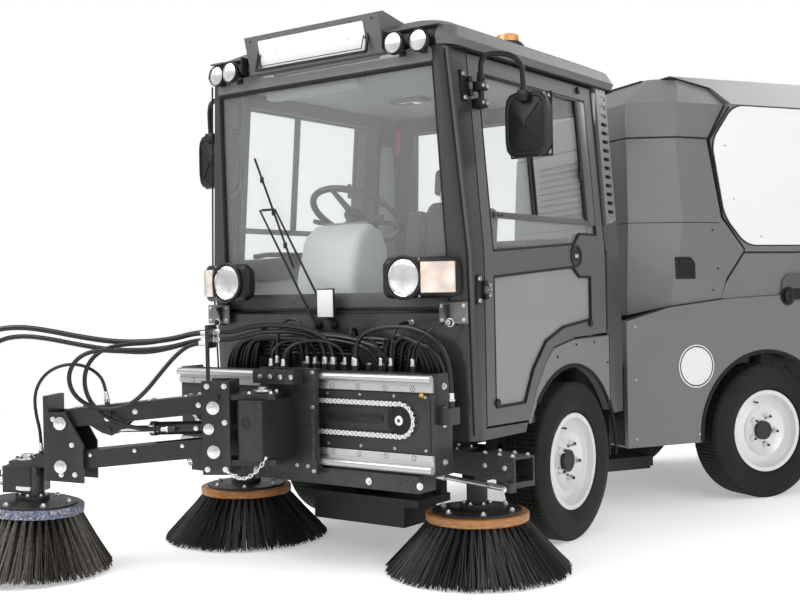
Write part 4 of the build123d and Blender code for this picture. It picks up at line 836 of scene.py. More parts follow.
def refined(node: str, finish: Finish, width: float = 3.0, angle: float = 28.0, segments: int = 2) -> bpy.types.Object:
    """A merged copy of a CAD node with rounded edges, which stands for it.

    Args:
        node: the CAD node's name.
        finish: what it is coated with.
        width: the rounding of its edges, in millimetres.
        angle: the angle in degrees above which an edge is rounded.
        segments: the steps of the rounding.

    Returns:
        The copy.
    """
    mesh = frame["nodes"][node].data.copy()
    mesh.name = f"{node}_finished"
    part = bmesh.new()
    part.from_mesh(mesh)
    bmesh.ops.remove_doubles(part, verts=part.verts, dist=1e-5)
    bmesh.ops.dissolve_limit(part, angle_limit=radians(0.6), use_dissolve_boundaries=False, verts=part.verts,
                             edges=part.edges, delimit={"NORMAL"})
    bmesh.ops.recalc_face_normals(part, faces=part.faces)
    for face in part.faces:
        face.material_index = 0
        face.smooth = True
    part.to_mesh(mesh)
    part.free()
    if "custom_normal" in mesh.attributes:
        mesh.attributes.remove(mesh.attributes["custom_normal"])
    mesh.materials.clear()
    mesh.materials.append(finish.material())
    mesh.set_sharp_from_angle(angle=radians(35.0))
    piece = shown(f"{node}_finished", mesh)
    rounding = piece.modifiers.new("rounded edges", "BEVEL")
    rounding.width = width / 1000
    rounding.segments = segments
    rounding.limit_method = "ANGLE"
    rounding.angle_limit = radians(angle)
    rounding.harden_normals = False
    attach(piece, body_of(node))
    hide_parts(node)
    log.info("%s: refined copy", node)
    return piece


def kept(node: str, finish: Finish) -> None:
    """Leaves a CAD node as it is and gives it its finish.

    Args:
        node: the CAD node's name.
        finish: what it is coated with.
    """
    item = frame["nodes"][node]
    if not item.material_slots:
        item.data.materials.append(finish.material())
    for holder in item.material_slots:
        holder.material = finish.material()
    log.info("%s: finish only", node)


# ---- camera, stage and hoses
@dataclass
class Viewpoint:
    """The camera: where it stands, and how it is turned, in degrees."""

    place: Point = (2.59438, -4.70764, 1.01014)
    yaw: float = 36.25
    pitch: float = 0.32
    roll: float = -1.08
    lens: float = 51.39

    def build(self) -> None:
        """Sets the scene's camera."""
        yaw, pitch, roll = (radians(v) for v in (self.yaw, self.pitch, self.roll))
        back = Vector((sin(yaw) * cos(pitch), -cos(yaw) * cos(pitch), sin(pitch)))
        right = (-back).cross(Vector(UP)).normalized()
        up = right.cross(-back)
        across = right * cos(roll) + up * sin(roll)
        upward = up * cos(roll) - right * sin(roll)
        data = bpy.data.cameras.new("camera")
        data.lens = self.lens
        data.sensor_width = 36.0
        data.clip_end = 100.0
        camera = shown("camera", data)
        turn = Matrix((across, upward, back)).transposed().to_4x4()
        camera.matrix_world = moved(self.place) @ turn
        bpy.context.scene.camera = camera
        log.info("camera at %s", self.place)


@dataclass
class Studio:
    """Soft daylight on a plain pale floor before a white background."""

    floor_size: float = 60.0
    sky: float = 0.62

    def build(self) -> None:
        """Sets the world, the floor and the lamps."""
        scene = bpy.context.scene
        scene.view_settings.view_transform = "Standard"
        scene.view_settings.look = "None"
        world = bpy.data.worlds.new("studio")
        scene.world = world
        world.use_nodes = True
        sheet = Sheet(world.node_tree)
        world.node_tree.nodes.clear()
        height = sheet.add("SeparateXYZ", {0: sheet.add("TexCoord").outputs["Generated"]}).outputs[2]
        blend = sheet.span(height, -0.05, 0.7)
        tone = sheet.mix(blend, (0.7, 0.7, 0.7, 1.0), (1.0, 1.0, 1.0, 1.0))
        light = sheet.add("Background", {"Color": tone, "Strength": self.sky})
        seen = sheet.add("Background", {"Color": (1.0, 1.0, 1.0, 1.0), "Strength": 1.0})
        path = sheet.add("LightPath")
        direct = path.outputs["Is Camera Ray"]
        through = path.outputs["Is Transmission Ray"]
        share = sheet.math("MAXIMUM", direct, through)
        mixed = sheet.add("MixShader", {0: share, 1: light.outputs[0], 2: seen.outputs[0]})
        sheet.add("OutputWorld", {"Surface": mixed.outputs[0]})
        self.floor()
        self.lamp("key", (-2.6, -5.2, 5.4), (0.0, 0.0, 0.7), 5.0, 330.0)
        self.lamp("fill", (5.6, -2.6, 3.2), (0.0, 0.0, 0.8), 5.0, 150.0)
        self.lamp("rear", (1.0, 5.5, 4.6), (0.0, 0.6, 1.0), 4.0, 160.0)

    def floor(self) -> None:
        """Lays the floor, which shows white but for the shadow on it."""
        part = bmesh.new()
        bmesh.ops.create_grid(part, x_segments=1, y_segments=1, size=self.floor_size / 2)
        mesh = bpy.data.meshes.new("floor")
        part.to_mesh(mesh)
        part.free()
        surface = bpy.data.materials.new("studio floor")
        surface.use_nodes = True
        sheet = Sheet(surface.node_tree)
        surface.node_tree.nodes.remove(surface.node_tree.nodes["Principled BSDF"])
        matt = sheet.add("BsdfDiffuse", {"Color": (0.86, 0.86, 0.86, 1.0)})
        glow = sheet.add("Emission", {"Color": (1.0, 1.0, 1.0, 1.0), "Strength": 0.36})
        both = sheet.add("AddShader", {0: matt.outputs[0], 1: glow.outputs[0]})
        place = sheet.add("TexCoord").outputs["Object"]
        away = sheet.add("VectorMath", {0: place}, operation="LENGTH").outputs["Value"]
        share = sheet.math("MULTIPLY", sheet.span(away, 2.4, 6.5), sheet.add("LightPath").outputs["Is Camera Ray"])
        white = sheet.add("Emission", {"Color": (1.0, 1.0, 1.0, 1.0), "Strength": 1.0})
        faded = sheet.add("MixShader", {0: share, 1: both.outputs[0], 2: white.outputs[0]})
        sheet.feed(sheet.tree.nodes["Material Output"], {"Surface": faded.outputs[0]})
        mesh.materials.append(surface)
        shown("floor", mesh)

    @staticmethod
    def lamp(name: str, place: Point, target: Point, size: float, power: float) -> None:
        """Hangs a large soft lamp.

        Args:
            name: the lamp's name.
            place: where it hangs.
            target: the point that it shines at.
            size: the side of its square face, in metres.
            power: its power in watts.
        """
        data = bpy.data.lights.new(name, "AREA")
        data.shape = "SQUARE"
        data.size = size
        data.energy = power
        lamp = shown(name, data)
        lamp.location = place
        lamp.rotation_euler = (Vector(target) - Vector(place)).to_track_quat("-Z", "Y").to_euler()


@dataclass(frozen=True)
class Hose:
    """A free hose: its route's points, and the bodies that hold its two ends."""

    name: str
    node: str
    module: Module
    radius: float
    length: float
    points: tuple[Point, ...]
    holders: tuple[str, str] = ("front_module", "front_module")
    bend: tuple[str, str] | None = None

    def build(self) -> None:
        """Makes the hose along its line, with a ferrule and a nut at each end."""
        matrix = self.module.matrix
        line = smooth_line(self.name, [matrix @ Vector(place) for place in self.points], 3, 10)
        holder = bpy.data.objects.new(self.name, line)
        centre = bpy.data.meshes.new_from_object(holder)
        bpy.data.meshes.remove(centre)
        line.bevel_depth = self.radius / 1000
        line.bevel_resolution = 4
        line.use_fill_caps = True
        tube = bpy.data.meshes.new_from_object(holder)
        bpy.data.objects.remove(holder)
        bpy.data.curves.remove(line)
        tube.materials.clear()
        tube.materials.append(HOSE.material())
        for face in tube.polygons:
            face.use_smooth = True
        piece = shown(self.name, tube)
        if self.bend:
            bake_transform(piece)
        else:
            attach(piece, body_of(self.node))
        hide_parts(self.node)
        for end, (tip, inner) in enumerate(((self.points[0], self.points[1]), (self.points[-1], self.points[-2]))):
            run = (Vector(inner) - Vector(tip)).normalized()
            shape = Shape(self.module)
            reach = min(26.0, 0.55 * (Vector(inner) - Vector(tip)).length)
            nut, sleeve, neck, mouth = (Vector(tip) + run * d for d in (0.3, 7.0, reach, reach + 2.0))
            shape.rod(nut, sleeve, self.radius + 4.5, BRIGHT, sides=6, round_off=0.8)
            shape.rod(sleeve, neck, self.radius + 1.6, BRIGHT, sides=18)
            shape.rod(neck, mouth, self.radius + 1.6, BRIGHT, self.radius + 0.4, sides=18)
            shape.finish(f"{self.name}_end_{end + 1}", self.holders[end])
        log.info("%s: %d points, %.3f m", self.name, len(self.points), self.length)


HOSES: tuple[Hose, ...] = (
    Hose("motor_hose", "frame_hoses", Module.FRONT, 8, 0.677,
         ((240, -902, 752.3), (240, -902, 812), (266, -903, 862), (336, -905, 888), (430, -905, 896),
          (525, -903, 886), (600, -900, 848), (640, -896, 785), (648, -892, 710), (648, -892, 640.3))),
    Hose("shelf_loop_hose", "frame_hoses", Module.FRONT, 5.5, 0.266,
         ((205, -868, 752.3), (205, -868, 800), (230, -872, 842), (268, -874, 854), (305, -872, 842),
          (330, -868, 800), (330, -868, 752.3))),
    Hose("lamp_feed_hose", "frame_hoses", Module.FRONT, 5.5, 0.241,
         ((375, -868, 752.3), (375, -868, 800), (380, -862, 856), (384, -834, 898), (386, -792, 905),
          (386, -744.9, 905))),
    Hose("spare_loop_hose", "frame_hoses", Module.FRONT, 6, 0.417,
         ((-170, -868, 752.3), (-170, -868, 806), (-164, -868, 862), (-138, -868, 908), (-92, -868, 926),
          (-46, -868, 908), (-22, -868, 862), (-16, -868, 806), (-16, -868, 752.3))),
    Hose("coupling_hose", "frame_hoses", Module.FRONT, 5.5, 0.252,
         ((575, -790.3, 905), (575, -836, 905), (550, -870, 880), (506, -880, 842), (470, -868, 800),
          (470, -868, 752.3))),
    Hose("long_feed_hose", "carriage_hoses", Module.FRONT, 10, 0.529,
         ((110, -868, 752.3), (110, -868, 806), (86, -894, 858), (30, -952, 893), (-36, -1024, 906),
          (-92, -1088, 902), (-139.9, -1144, 883), (-201.4, -1177.5, 883)),
         ("front_module", "bracket"), ("front_module", "carriage")),
    Hose("long_return_hose", "carriage_hoses", Module.FRONT, 9, 0.499,
         ((70, -868, 752.3), (70, -868, 806), (52, -890, 852), (14, -936, 872), (-30, -996, 880),
          (-72, -1058, 880), (-106, -1106, 868), (-139.9, -1144, 855), (-201.4, -1177.5, 855)),
         ("front_module", "bracket"), ("front_module", "carriage")),
    Hose("valve_left_hose", "carriage_hoses", Module.FRONT, 5.5, 0.291,
         ((-60, -1022, 754.3), (-60, -1022, 798), (-44, -998, 834), (-10, -958, 846), (14, -912, 832),
          (20, -868, 800), (20, -868, 752.3)),
         ("carriage", "front_module"), ("carriage", "front_module")),
    Hose("valve_right_hose", "carriage_hoses", Module.FRONT, 5.5, 0.337,
         ((0, -1022, 754.3), (0, -1022, 796), (26, -1000, 832), (80, -960, 848), (132, -908, 836),
          (165, -868, 800), (165, -868, 752.3)),
         ("carriage", "front_module"), ("carriage", "front_module")),
    Hose("broom_feed_hose", "boom_hoses", Module.BOOM, 10, 1.578,
         ((183.3, 0, 883), (240, 0, 883), (340, 0, 858), (440, 0, 850), (560, 0, 852), (690, 0, 872),
          (820, 0, 899), (930, 3, 914), (1035, 8, 902), (1122, 12, 850), (1178, 16, 768), (1203, 19, 665),
          (1197, 21, 560), (1172, 22, 455), (1098, 22, 370), (1000.3, 22, 370)),
         ("bracket", "head"), ("bracket", "link_upper")),
    Hose("broom_return_hose", "boom_hoses", Module.BOOM, 9, 1.512,
         ((183.3, 0, 855), (240, 0, 855), (340, 0, 829), (440, 0, 820), (560, 0, 821), (690, 0, 842),
          (815, 0, 868), (920, -3, 880), (1010, -8, 866), (1085, -12, 815), (1132, -16, 740), (1152, -19, 650),
          (1152, -20, 560), (1142, -21, 470), (1128, -22, 398), (1075, -22, 330), (1000.3, -22, 330)),
         ("bracket", "head"), ("bracket", "link_upper")),
    Hose("lift_feed_hose", "boom_hoses", Module.BOOM, 8, 0.917,
         ((190.3, 30, 880), (240, 30, 880), (325, 36, 862), (405, 48, 848), (490, 64, 846), (565, 80, 832),
          (618, 88, 790), (640, 92, 728), (630, 92, 662), (590, 90, 606), (532, 84, 568), (470, 60, 542),
          (410, 36, 532.4), (344.3, 36, 533.7)),
         ("bracket", "lift_barrel")),
    Hose("lift_return_hose", "boom_hoses", Module.BOOM, 8, 1.21,
         ((190.3, 30, 854), (240, 30, 854), (310, 50, 832), (400, 76, 814), (500, 100, 822), (590, 112, 828),
          (655, 116, 800), (688, 118, 742), (676, 118, 678), (624, 118, 632), (545, 118, 612), (462, 116, 626),
          (400, 108, 678), (350, 94, 742), (298, 72, 806), (245, 54, 846), (190.3, 54, 846)),
         ("bracket", "bracket")),
    Hose("valve_feed_hose", "boom_hoses", Module.BOOM, 6, 0.615,
         ((834, 35, 455.3), (834, 35, 520), (850, 44, 600), (846, 54, 675), (806, 60, 738), (742, 62, 772),
          (672, 60, 776), (612, 54, 750), (576.4, 50, 705.5), (570.8, 50, 645.8)),
         ("head", "link_upper")),
)


# ---- wheels
@dataclass
class Wheel:
    """A tyre with cut tread on a painted steel rim."""

    place: str
    module: Module
    side: int
    axle_y: float
    radius: float = 320.0
    width: float = 190.0
    track_half: float = 566.0
    groove: float = 7.0
    blocks: int = 110

    @property
    def axis(self) -> Matrix:
        """The wheel's own axes, Z outwards along its axle, in its module."""
        return (moved((self.side * self.track_half, self.axle_y, self.radius))
                @ rotated(90 * self.side, "Y"))

    def build(self) -> None:
        """Makes the tyre and the rim's fittings."""
        self.tyre()
        self.rim()

    def tyre(self) -> None:
        """Makes the carcass with ribs, and raises the blocks of the tread on it."""
        half = self.width / 2
        low = self.radius - self.groove
        tread_half = half - 24
        section = [(182.5, -66), (197.5, -68), (206, -80), (228, -90), (246, -94), (250, -93), (253, -94.5),
                   (276, -92), (279, -90), (283, -90.5), (298, -84), (low - 2, -74), (low, -tread_half)]
        steps = [-tread_half + 2 * tread_half * n / 7 for n in range(1, 8)]
        section += [(low, z) for z in steps]
        section += [(r, -z) for r, z in reversed(section[:12])]
        section += [(190, 62), (262, 76), (296, 60), (296, -60), (262, -76), (190, -62)]
        part = spun([(radius, 0, height) for radius, height in section], True, UP, tau, self.blocks)
        bmesh.ops.recalc_face_normals(part, faces=part.faces)
        band = [f for f in part.faces if all(abs(Vector(v.co[:2]).length - low) < 2.5 for v in f.verts)
                and abs(f.calc_center_median().z) < tread_half + 4]
        bmesh.ops.inset_individual(part, faces=band, thickness=1.6, depth=0, use_even_offset=True)
        tops = bmesh.ops.extrude_discrete_faces(part, faces=band)["faces"]
        for face in tops:
            centre = face.calc_center_median()
            out = Vector((centre.x, centre.y, 0)).normalized()
            lift = self.groove if abs(centre.z) < tread_half - 2 else self.groove - 1.5
            bmesh.ops.translate(part, verts=face.verts, vec=out * lift * 0.98)
        shoulder = [f for f in part.faces
                    if 298 < Vector(f.calc_center_median()[:2]).length < low + 1
                    and tread_half + 1 < abs(f.calc_center_median().z) < half]
        bmesh.ops.inset_individual(part, faces=shoulder, thickness=1.6, depth=1.2, use_even_offset=True)
        body = f"wheel_{self.place}"
        shape = Shape(self.module)
        shape.join(part, TYRE, self.axis)
        shape.finish(f"tyre_{self.place}_treaded", body, (f"tyre_{self.place}",), 28, "tyre_rubber")

    def rim(self) -> None:
        """Refines the rim, and adds its nuts, cap and valve."""
        refined(f"rim_{self.place}", RIM_PAINT, 1.2, 40)
        shape = Shape(self.module)
        spot = self.axis
        out = Vector(spot.col[2][:3])

        def at(radius: float, angle: float, height: float) -> Point:
            """A point on the wheel at a radius, an angle in degrees and a height along its axle."""
            turn = radians(angle)
            return tuple(spot @ Vector((radius * cos(turn), radius * sin(turn), height)))

        for n in range(5):
            angle = 72 * n + 12
            shape.rod(at(72, angle, 37), at(72, angle, 46), 17, BRIGHT, 13, sides=18)
            shape.rod(at(72, angle, 46), at(72, angle, 62), 11.5, BRIGHT, sides=6, round_off=1)
            shape.rod(at(72, angle, 62), at(72, angle, 68), 6.5, CHASSIS_PAINT, sides=10)
        shape.turned([(0, 52), (20, 51.6), (36, 49), (43, 44), (44.5, 36), (44.5, 30)], CHASSIS_PAINT,
                     at(0, 0, 0), tuple(out), 32)
        shape.rod(at(150, 200, 30), at(146, 200, 62), 4.2, SEAL, 3.2, sides=10)
        shape.rod(at(146, 200, 62), at(145.5, 200, 70), 4.4, TRIM, sides=10)
        shape.finish(f"wheel_fittings_{self.place}", f"wheel_{self.place}")


# ---- brooms
@dataclass
class Broom:
    """A plate with a pressed ring from which long tufts of bristle fan out."""

    name: str
    body: str
    node: str
    module: Module
    foot: Matrix
    tip_radius: float
    ring_z: float
    ring: Finish
    bristle: Finish
    tufts: int
    strands: int
    thickness: float
    seed: int
    ring_radius: float = 188.0
    ring_height: float = 30.0

    def build(self) -> None:
        """Makes the bristles, the ring and the drive plate."""
        self.bristles()
        self.head()

    def bristles(self) -> None:
        """Fans the strands out of their holes in three rows."""
        chance = random.Random(self.seed)
        part = bmesh.new()
        for row, (phase, reach) in enumerate(((0, 1), (0.33, 0.9), (0.66, 0.8))):
            root = self.ring_radius - 16 - row * 24
            tips = self.tip_radius - 4 - row * 34
            count = int(self.tufts * reach)
            for tuft in range(count):
                base = tau * (tuft + phase) / count
                for _ in range(self.strands):
                    start_turn = base + chance.gauss(0, 0.012)
                    end_turn = base + chance.gauss(0, 0.05)
                    start_radius = root + chance.uniform(-6, 6)
                    end_radius = min(tips - abs(chance.gauss(0, 14)), self.tip_radius - 1.5)
                    start = Vector((start_radius * cos(start_turn), start_radius * sin(start_turn),
                                    self.ring_z + 2))
                    end = Vector((end_radius * cos(end_turn), end_radius * sin(end_turn),
                                  1.5 + abs(chance.gauss(0, 7))))
                    run = end - start
                    spot = moved((start + end) / 2) @ turned_to(run)
                    bmesh.ops.create_cone(part, cap_ends=False, segments=3, radius1=self.thickness,
                                          radius2=self.thickness * 0.8, depth=run.length, matrix=spot)
        shape = Shape(self.module)
        shape.join(part, self.bristle, self.foot)
        shape.finish(f"{self.name}_bristles", self.body, (self.node,), 60)

    def head(self) -> None:
        """Makes the ring with its tuft holes, and the steel plate over it."""
        top = self.ring_z + self.ring_height
        shape = Shape(self.module)
        outer, inner = self.ring_radius, self.ring_radius - 84
        shape.turned([(inner, self.ring_z), (outer - 3, self.ring_z), (outer, self.ring_z + 3), (outer, top - 3),
                      (outer - 3, top), (inner, top), (inner, self.ring_z)], self.ring, steps=96)
        shape.turned([(0, top), (outer - 27, top), (outer - 26, top + 1), (outer - 26, top + 7), (outer - 27, top + 8),
                      (70, top + 8), (62, top + 12), (62, top + 30), (0, top + 30)], FRAME_PAINT, steps=64)
        for x, y in around(6, 132, 0.2):
            shape.bolt((x, y, top + 8), UP, 9)
        for x, y in around(6, 46, 0.55):
            shape.bolt((x, y, top + 30), UP, 6)
        shape.mesh.transform(self.foot)
        shape.finish(f"{self.name}_ring", self.body, slot="broom_ring")


# ---- slide frame on the nose
@dataclass
class SlideFrame:
    """Cross frame with ground rails and the chain that draws the boom's carriage along them."""

    front_y: float = -950.0
    half: float = 615.0
    rails: tuple[tuple[float, float], ...] = ((683.0, 717.0), (447.0, 409.0))
    chain_z: float = 573.0
    sprocket_x: float = 480.0
    sprocket_radius: float = 56.0
    pitch: float = 19.05
    teeth: int = 18

    def build(self) -> None:
        """Makes the frame's finish, its rails, the chain and the fittings behind."""
        refined("slide_frame", FRAME_PAINT, 2)
        refined("slide_rails", RAIL_STEEL, 1, 40)
        self.rail_screws()
        self.chain()
        self.panel()
        self.plumbing()

    def rail_screws(self) -> None:
        """Adds countersunk screws along the flat bars and a bolt in each end of the round ones."""
        shape = Shape()
        face = self.front_y - 12
        for flat_z, round_z in self.rails:
            for n in range(10):
                x = -535 + 119 * n
                shape.rod((x, face + 0.5, flat_z), (x, face - 0.4, flat_z), 9.5, SEAL, sides=20)
                shape.turned([(3.2, 0.4), (3.4, 1.2), (6.6, 1.2), (7.2, 0.4)], BRIGHT, (x, face, flat_z),
                             AHEAD, 20)
            for side in SIDES:
                end = side * self.half
                shape.bolt((end - side * 14, self.front_y - 14, round_z), (side, 0, 0), 9)
        shape.finish("rail_screws", slot="chain_steel")

    def spot(self, run: float) -> Vector:
        """The place of the chain.

        Args:
            run: how far along its loop, from the right end of its upper run.

        Returns:
            The point in the front module.
        """
        radius, straight = self.sprocket_radius, 2 * self.sprocket_x
        half_rounds, run = divmod(run, straight + pi * radius)
        x, z = run - self.sprocket_x, radius
        if run >= straight:
            turn = (run - straight) / radius
            x, z = self.sprocket_x + radius * sin(turn), radius * cos(turn)
        flip = 1 - 2 * (half_rounds % 2)
        return Vector((flip * x, self.front_y - 10, self.chain_z + flip * z))

    def chain(self) -> None:
        """Makes the roller chain link by link round its two toothed wheels."""
        shape = Shape()
        front = self.front_y
        loop = 2 * (2 * self.sprocket_x + pi * self.sprocket_radius)
        count = int(loop / self.pitch / 2) * 2
        step = loop / count
        for n in range(count):
            start, end = self.spot(n * step), self.spot((n + 1) * step)
            middle = (start + end) / 2
            heading = atan2(-(end.z - start.z), end.x - start.x)
            outer = n % 2 == 0
            spot = moved(middle) @ Matrix.Rotation(heading, 4, "Y")
            for face in (LEFT, RIGHT):
                y = face * (5.4 if outer else 3.7)
                half = step / 2
                lower = [(-half - 9, -3.5), (-half - 6, -8), (-half, -9.4), (-half + 5.5, -7.4), (0, -4),
                         (half - 5.5, -7.4), (half, -9.4), (half + 6, -8), (half + 9, -3.5)]
                outline = lower + [(-a, -b) for a, b in lower]
                link = prism([(a, y - 0.6, b) for a, b in outline], (0, 1.2, 0))
                shape.join(link, WHEEL_STEEL if outer else FRAME_PAINT, spot)
            tip, face, back = (start + Vector((0, y, 0)) for y in (-7.2, -6.4, 5.8))
            shape.rod(face, back, 5, SEAL, sides=10)
            shape.rod(tip, face, 3.2, WHEEL_STEEL, sides=8)
        for side in SIDES:
            hub = Vector((side * self.sprocket_x, 0, self.chain_z))
            outline: list[Flat] = []
            for n in range(self.teeth):
                for part, radius in ((0, 49), (0.28, 50.5), (0.42, 60.5), (0.58, 60.5), (0.72, 50.5)):
                    turn = tau * (n + part) / self.teeth
                    outline.append((hub.x + radius * cos(turn), hub.z + radius * sin(turn)))
            shape.plate(outline, (front - 12.2, front - 7.8), SEAL, "y", 0)
            shape.turned([(0, 0), (49.5, 0), (50, 0.8), (50, 3.4), (48.6, 4.6), (30, 4.6), (28, 6.8), (13, 6.8),
                          (12, 5.4), (0, 5.4)], SEAL, (hub.x, front - 12.6, hub.z), AHEAD, 40)
            shape.turned([(0, 6), (7, 6), (8, 8), (15, 8), (17, 6), (17, 0)], WHEEL_STEEL,
                         (hub.x, front - 14, hub.z), AHEAD, 32)
            shape.rod((hub.x, front - 19, hub.z), (hub.x, front - 20.4, hub.z), 6.5, SEAL, sides=6)
        shape.finish("roller_chain", "front_module", ("drive_chain",), slot="chain_steel")

    def panel(self) -> None:
        """Adds the cover over the chain's middle, the brass nipple and the drive motor."""
        shape = Shape()
        front = self.front_y
        shape.plate([(132, 462), (600, 462), (600, 668), (132, 668)], (front - 3.2, front - 0.2),
                    FRAME_PAINT, "y", 0.8, 14)
        shape.plate([(150, 556), (402, 556), (402, 592), (150, 592)], (front - 6, front - 3), TRIM,
                    "y", 1, 16)
        for x in (150, 300, 450, 582):
            for z in (474, 656):
                shape.screw((x, front - 3.2, z), AHEAD, 5.5)
        shape.rod((570, front, 663), (570, front - 8, 663), 9, BRASS, sides=6)
        shape.rod((570, front - 8, 663), (570, front - 16, 663), 5.5, BRASS, sides=14)
        shape.rod((570, front - 12, 663), (583, front - 12, 663), 4.5, BRASS, sides=14)
        for x in (-560, -200, 340, 560):
            shape.bolt((x, front - 12, 352), AHEAD, 9)
        for side in SIDES:
            for z in (430, 560, 690):
                shape.bolt((side * 615, -890, z), (side, 0, 0), 8)
        shape.rod((616, -894, 589), (656, -894, 589), 27, BRIGHT, sides=28, round_off=2.5)
        shape.rod((616, -894, 589), (626, -894, 589), 31, BRIGHT, sides=28, round_off=1.5)
        shape.rod((656, -894, 589), (661, -894, 589), 16, CHASSIS_PAINT, sides=20)
        for y, z in around(4, 24, radians(40)):
            shape.bolt((626, -894 + y, 589 + z), (1, 0, 0), 4.5, CHASSIS_PAINT)
        shape.finish("slide_fittings", slot="frame_dark")

    def plumbing(self) -> None:
        """Adds the valve block and the fixed pipes between the frame and the cab."""
        shape = Shape()
        for n in range(7):
            x = 300 - 62 * n
            shape.box((x - 24, x + 24), (-842, -790), (640, 716), CHASSIS_PAINT, 3)
            shape.rod((x, -816, 716), (x, -816, 752), 14, CHASSIS_PAINT, sides=18, round_off=2)
            shape.rod((x, -816, 752), (x, -816, 758), 10, BRIGHT, sides=6)
            shape.rod((x, -842, 672), (x, -852, 672), 9, BRIGHT, sides=6)
        shape.box((-460, 470), (-846, -770), (596, 640), FRAME_PAINT, 3)
        chance = random.Random(4)
        for n in range(9):
            x = 330 - 84 * n
            reach = 824 + 22 * (n % 3)
            bow = chance.uniform(-46, 46)
            shape.pipe([(x, -800, 640), (x, -800, 740), (x + bow, -822, reach), (x + 1.4 * bow, -790, reach + 22),
                        (x + 2 * bow, -762, reach - 16), (x + 2.1 * bow, -754, 700)], 6.5 + (n % 2) * 2.5, HOSE)
        for n in range(5):
            z, left, right = 780 + 16 * n, 430 - 14 * n, 12 * n - 420
            shape.pipe([(right, -776, 640), (right, -782, z - 30), (-380, -786, z), (-100, -790, z + 10),
                        (200, -788, z + 4), (left - 35, -784, z - 6), (left, -780, z - 50), (left + 2, -776, 640)],
                       7.5, HOSE)
        for n in range(8):
            x = -500 + 22 * n
            shape.pipe([(x, -800, 640), (x, -806 - 4 * (n % 3), 790 + 7 * n), (x + 150, -818, 850 + 6 * (n % 4)),
                        (20 + 22 * n, -822 + 5 * (n % 3), 862 - 7 * (n % 5)), (190 + 20 * n, -812, 828 - 5 * n),
                        (232 + 16 * n, -800, 700)], 9.5 + (n % 3), HOSE, 16)
        for n in range(5):
            shape.pipe([(300 + 32 * n, -800, 640), (306 + 36 * n, -812, 800), (350 + 34 * n, -822, 868 - 9 * n),
                        (450 + 22 * n, -818, 840 - 10 * n), (490 + 20 * n, -808, 720), (470 + 22 * n, -800, 600)],
                       9 + (n % 2) * 2, HOSE, 16)
            shape.rod((306 + 33 * n, -803, 700), (307 + 34 * n, -806, 724), 13, BRIGHT, sides=18, round_off=1)
        shape.box((-34, 42), (-786, -781), (926, 1030), PLATE, 2)
        shape.box((-39, 47), (-781, -776), (921, 1035), TRIM, 2)
        shape.rod((4, -776, 935), (4, -752, 912), 9, TRIM, sides=14)
        for side in SIDES:
            shape.plate([(-846, 590), (-738, 590), (-738, 700), (-800, 720), (-846, 700)],
                        (side * 470 - 4, side * 470 + 4), FRAME_PAINT, "x", 1)
        shape.finish("valve_block")


@dataclass
class Carriage:
    """The plate on the rails that carries the boom's swing housing."""

    plate_y: float = -998.0

    def build(self) -> None:
        """Makes the carriage's finish, bolts, wear strips and manifold."""
        refined("slide_carriage", FRAME_PAINT, 4)
        shape = Shape()
        for x, z in ((46, 732), (118, 732), (-128, 732), (116, 607), (114, 524), (38, 392), (90, 392), (118, 376),
                     (-128, 392), (-128, 524), (-128, 607)):
            shape.screw((x, self.plate_y, z), AHEAD, 7.5)
        for x in (-127, 117):
            shape.box((x - 9, x + 9), (self.plate_y - 5, self.plate_y), (420, 580), FRAME_PAINT, 2)
        for x in (-110, -60, -10, 40):
            shape.rod((x + 22, -1049, 716), (x + 22, -1056, 716), 10, BRIGHT, sides=6, round_off=0.8)
        shape.rod((-41, -1090, 664), (-41, -1090, 672), 34, BRIGHT, sides=32, round_off=1.5)
        shape.rod((-41, -1090, 672), (-41, -1090, 682), 17, BRIGHT, sides=6, round_off=1)
        shape.turned([(0, 0), (17, 0), (17, 1.5), (22, 1.5), (22, 0)], CHASSIS_PAINT, (-41, -1182.4, 560),
                     AHEAD, 32)
        shape.finish("carriage_fittings", "carriage")


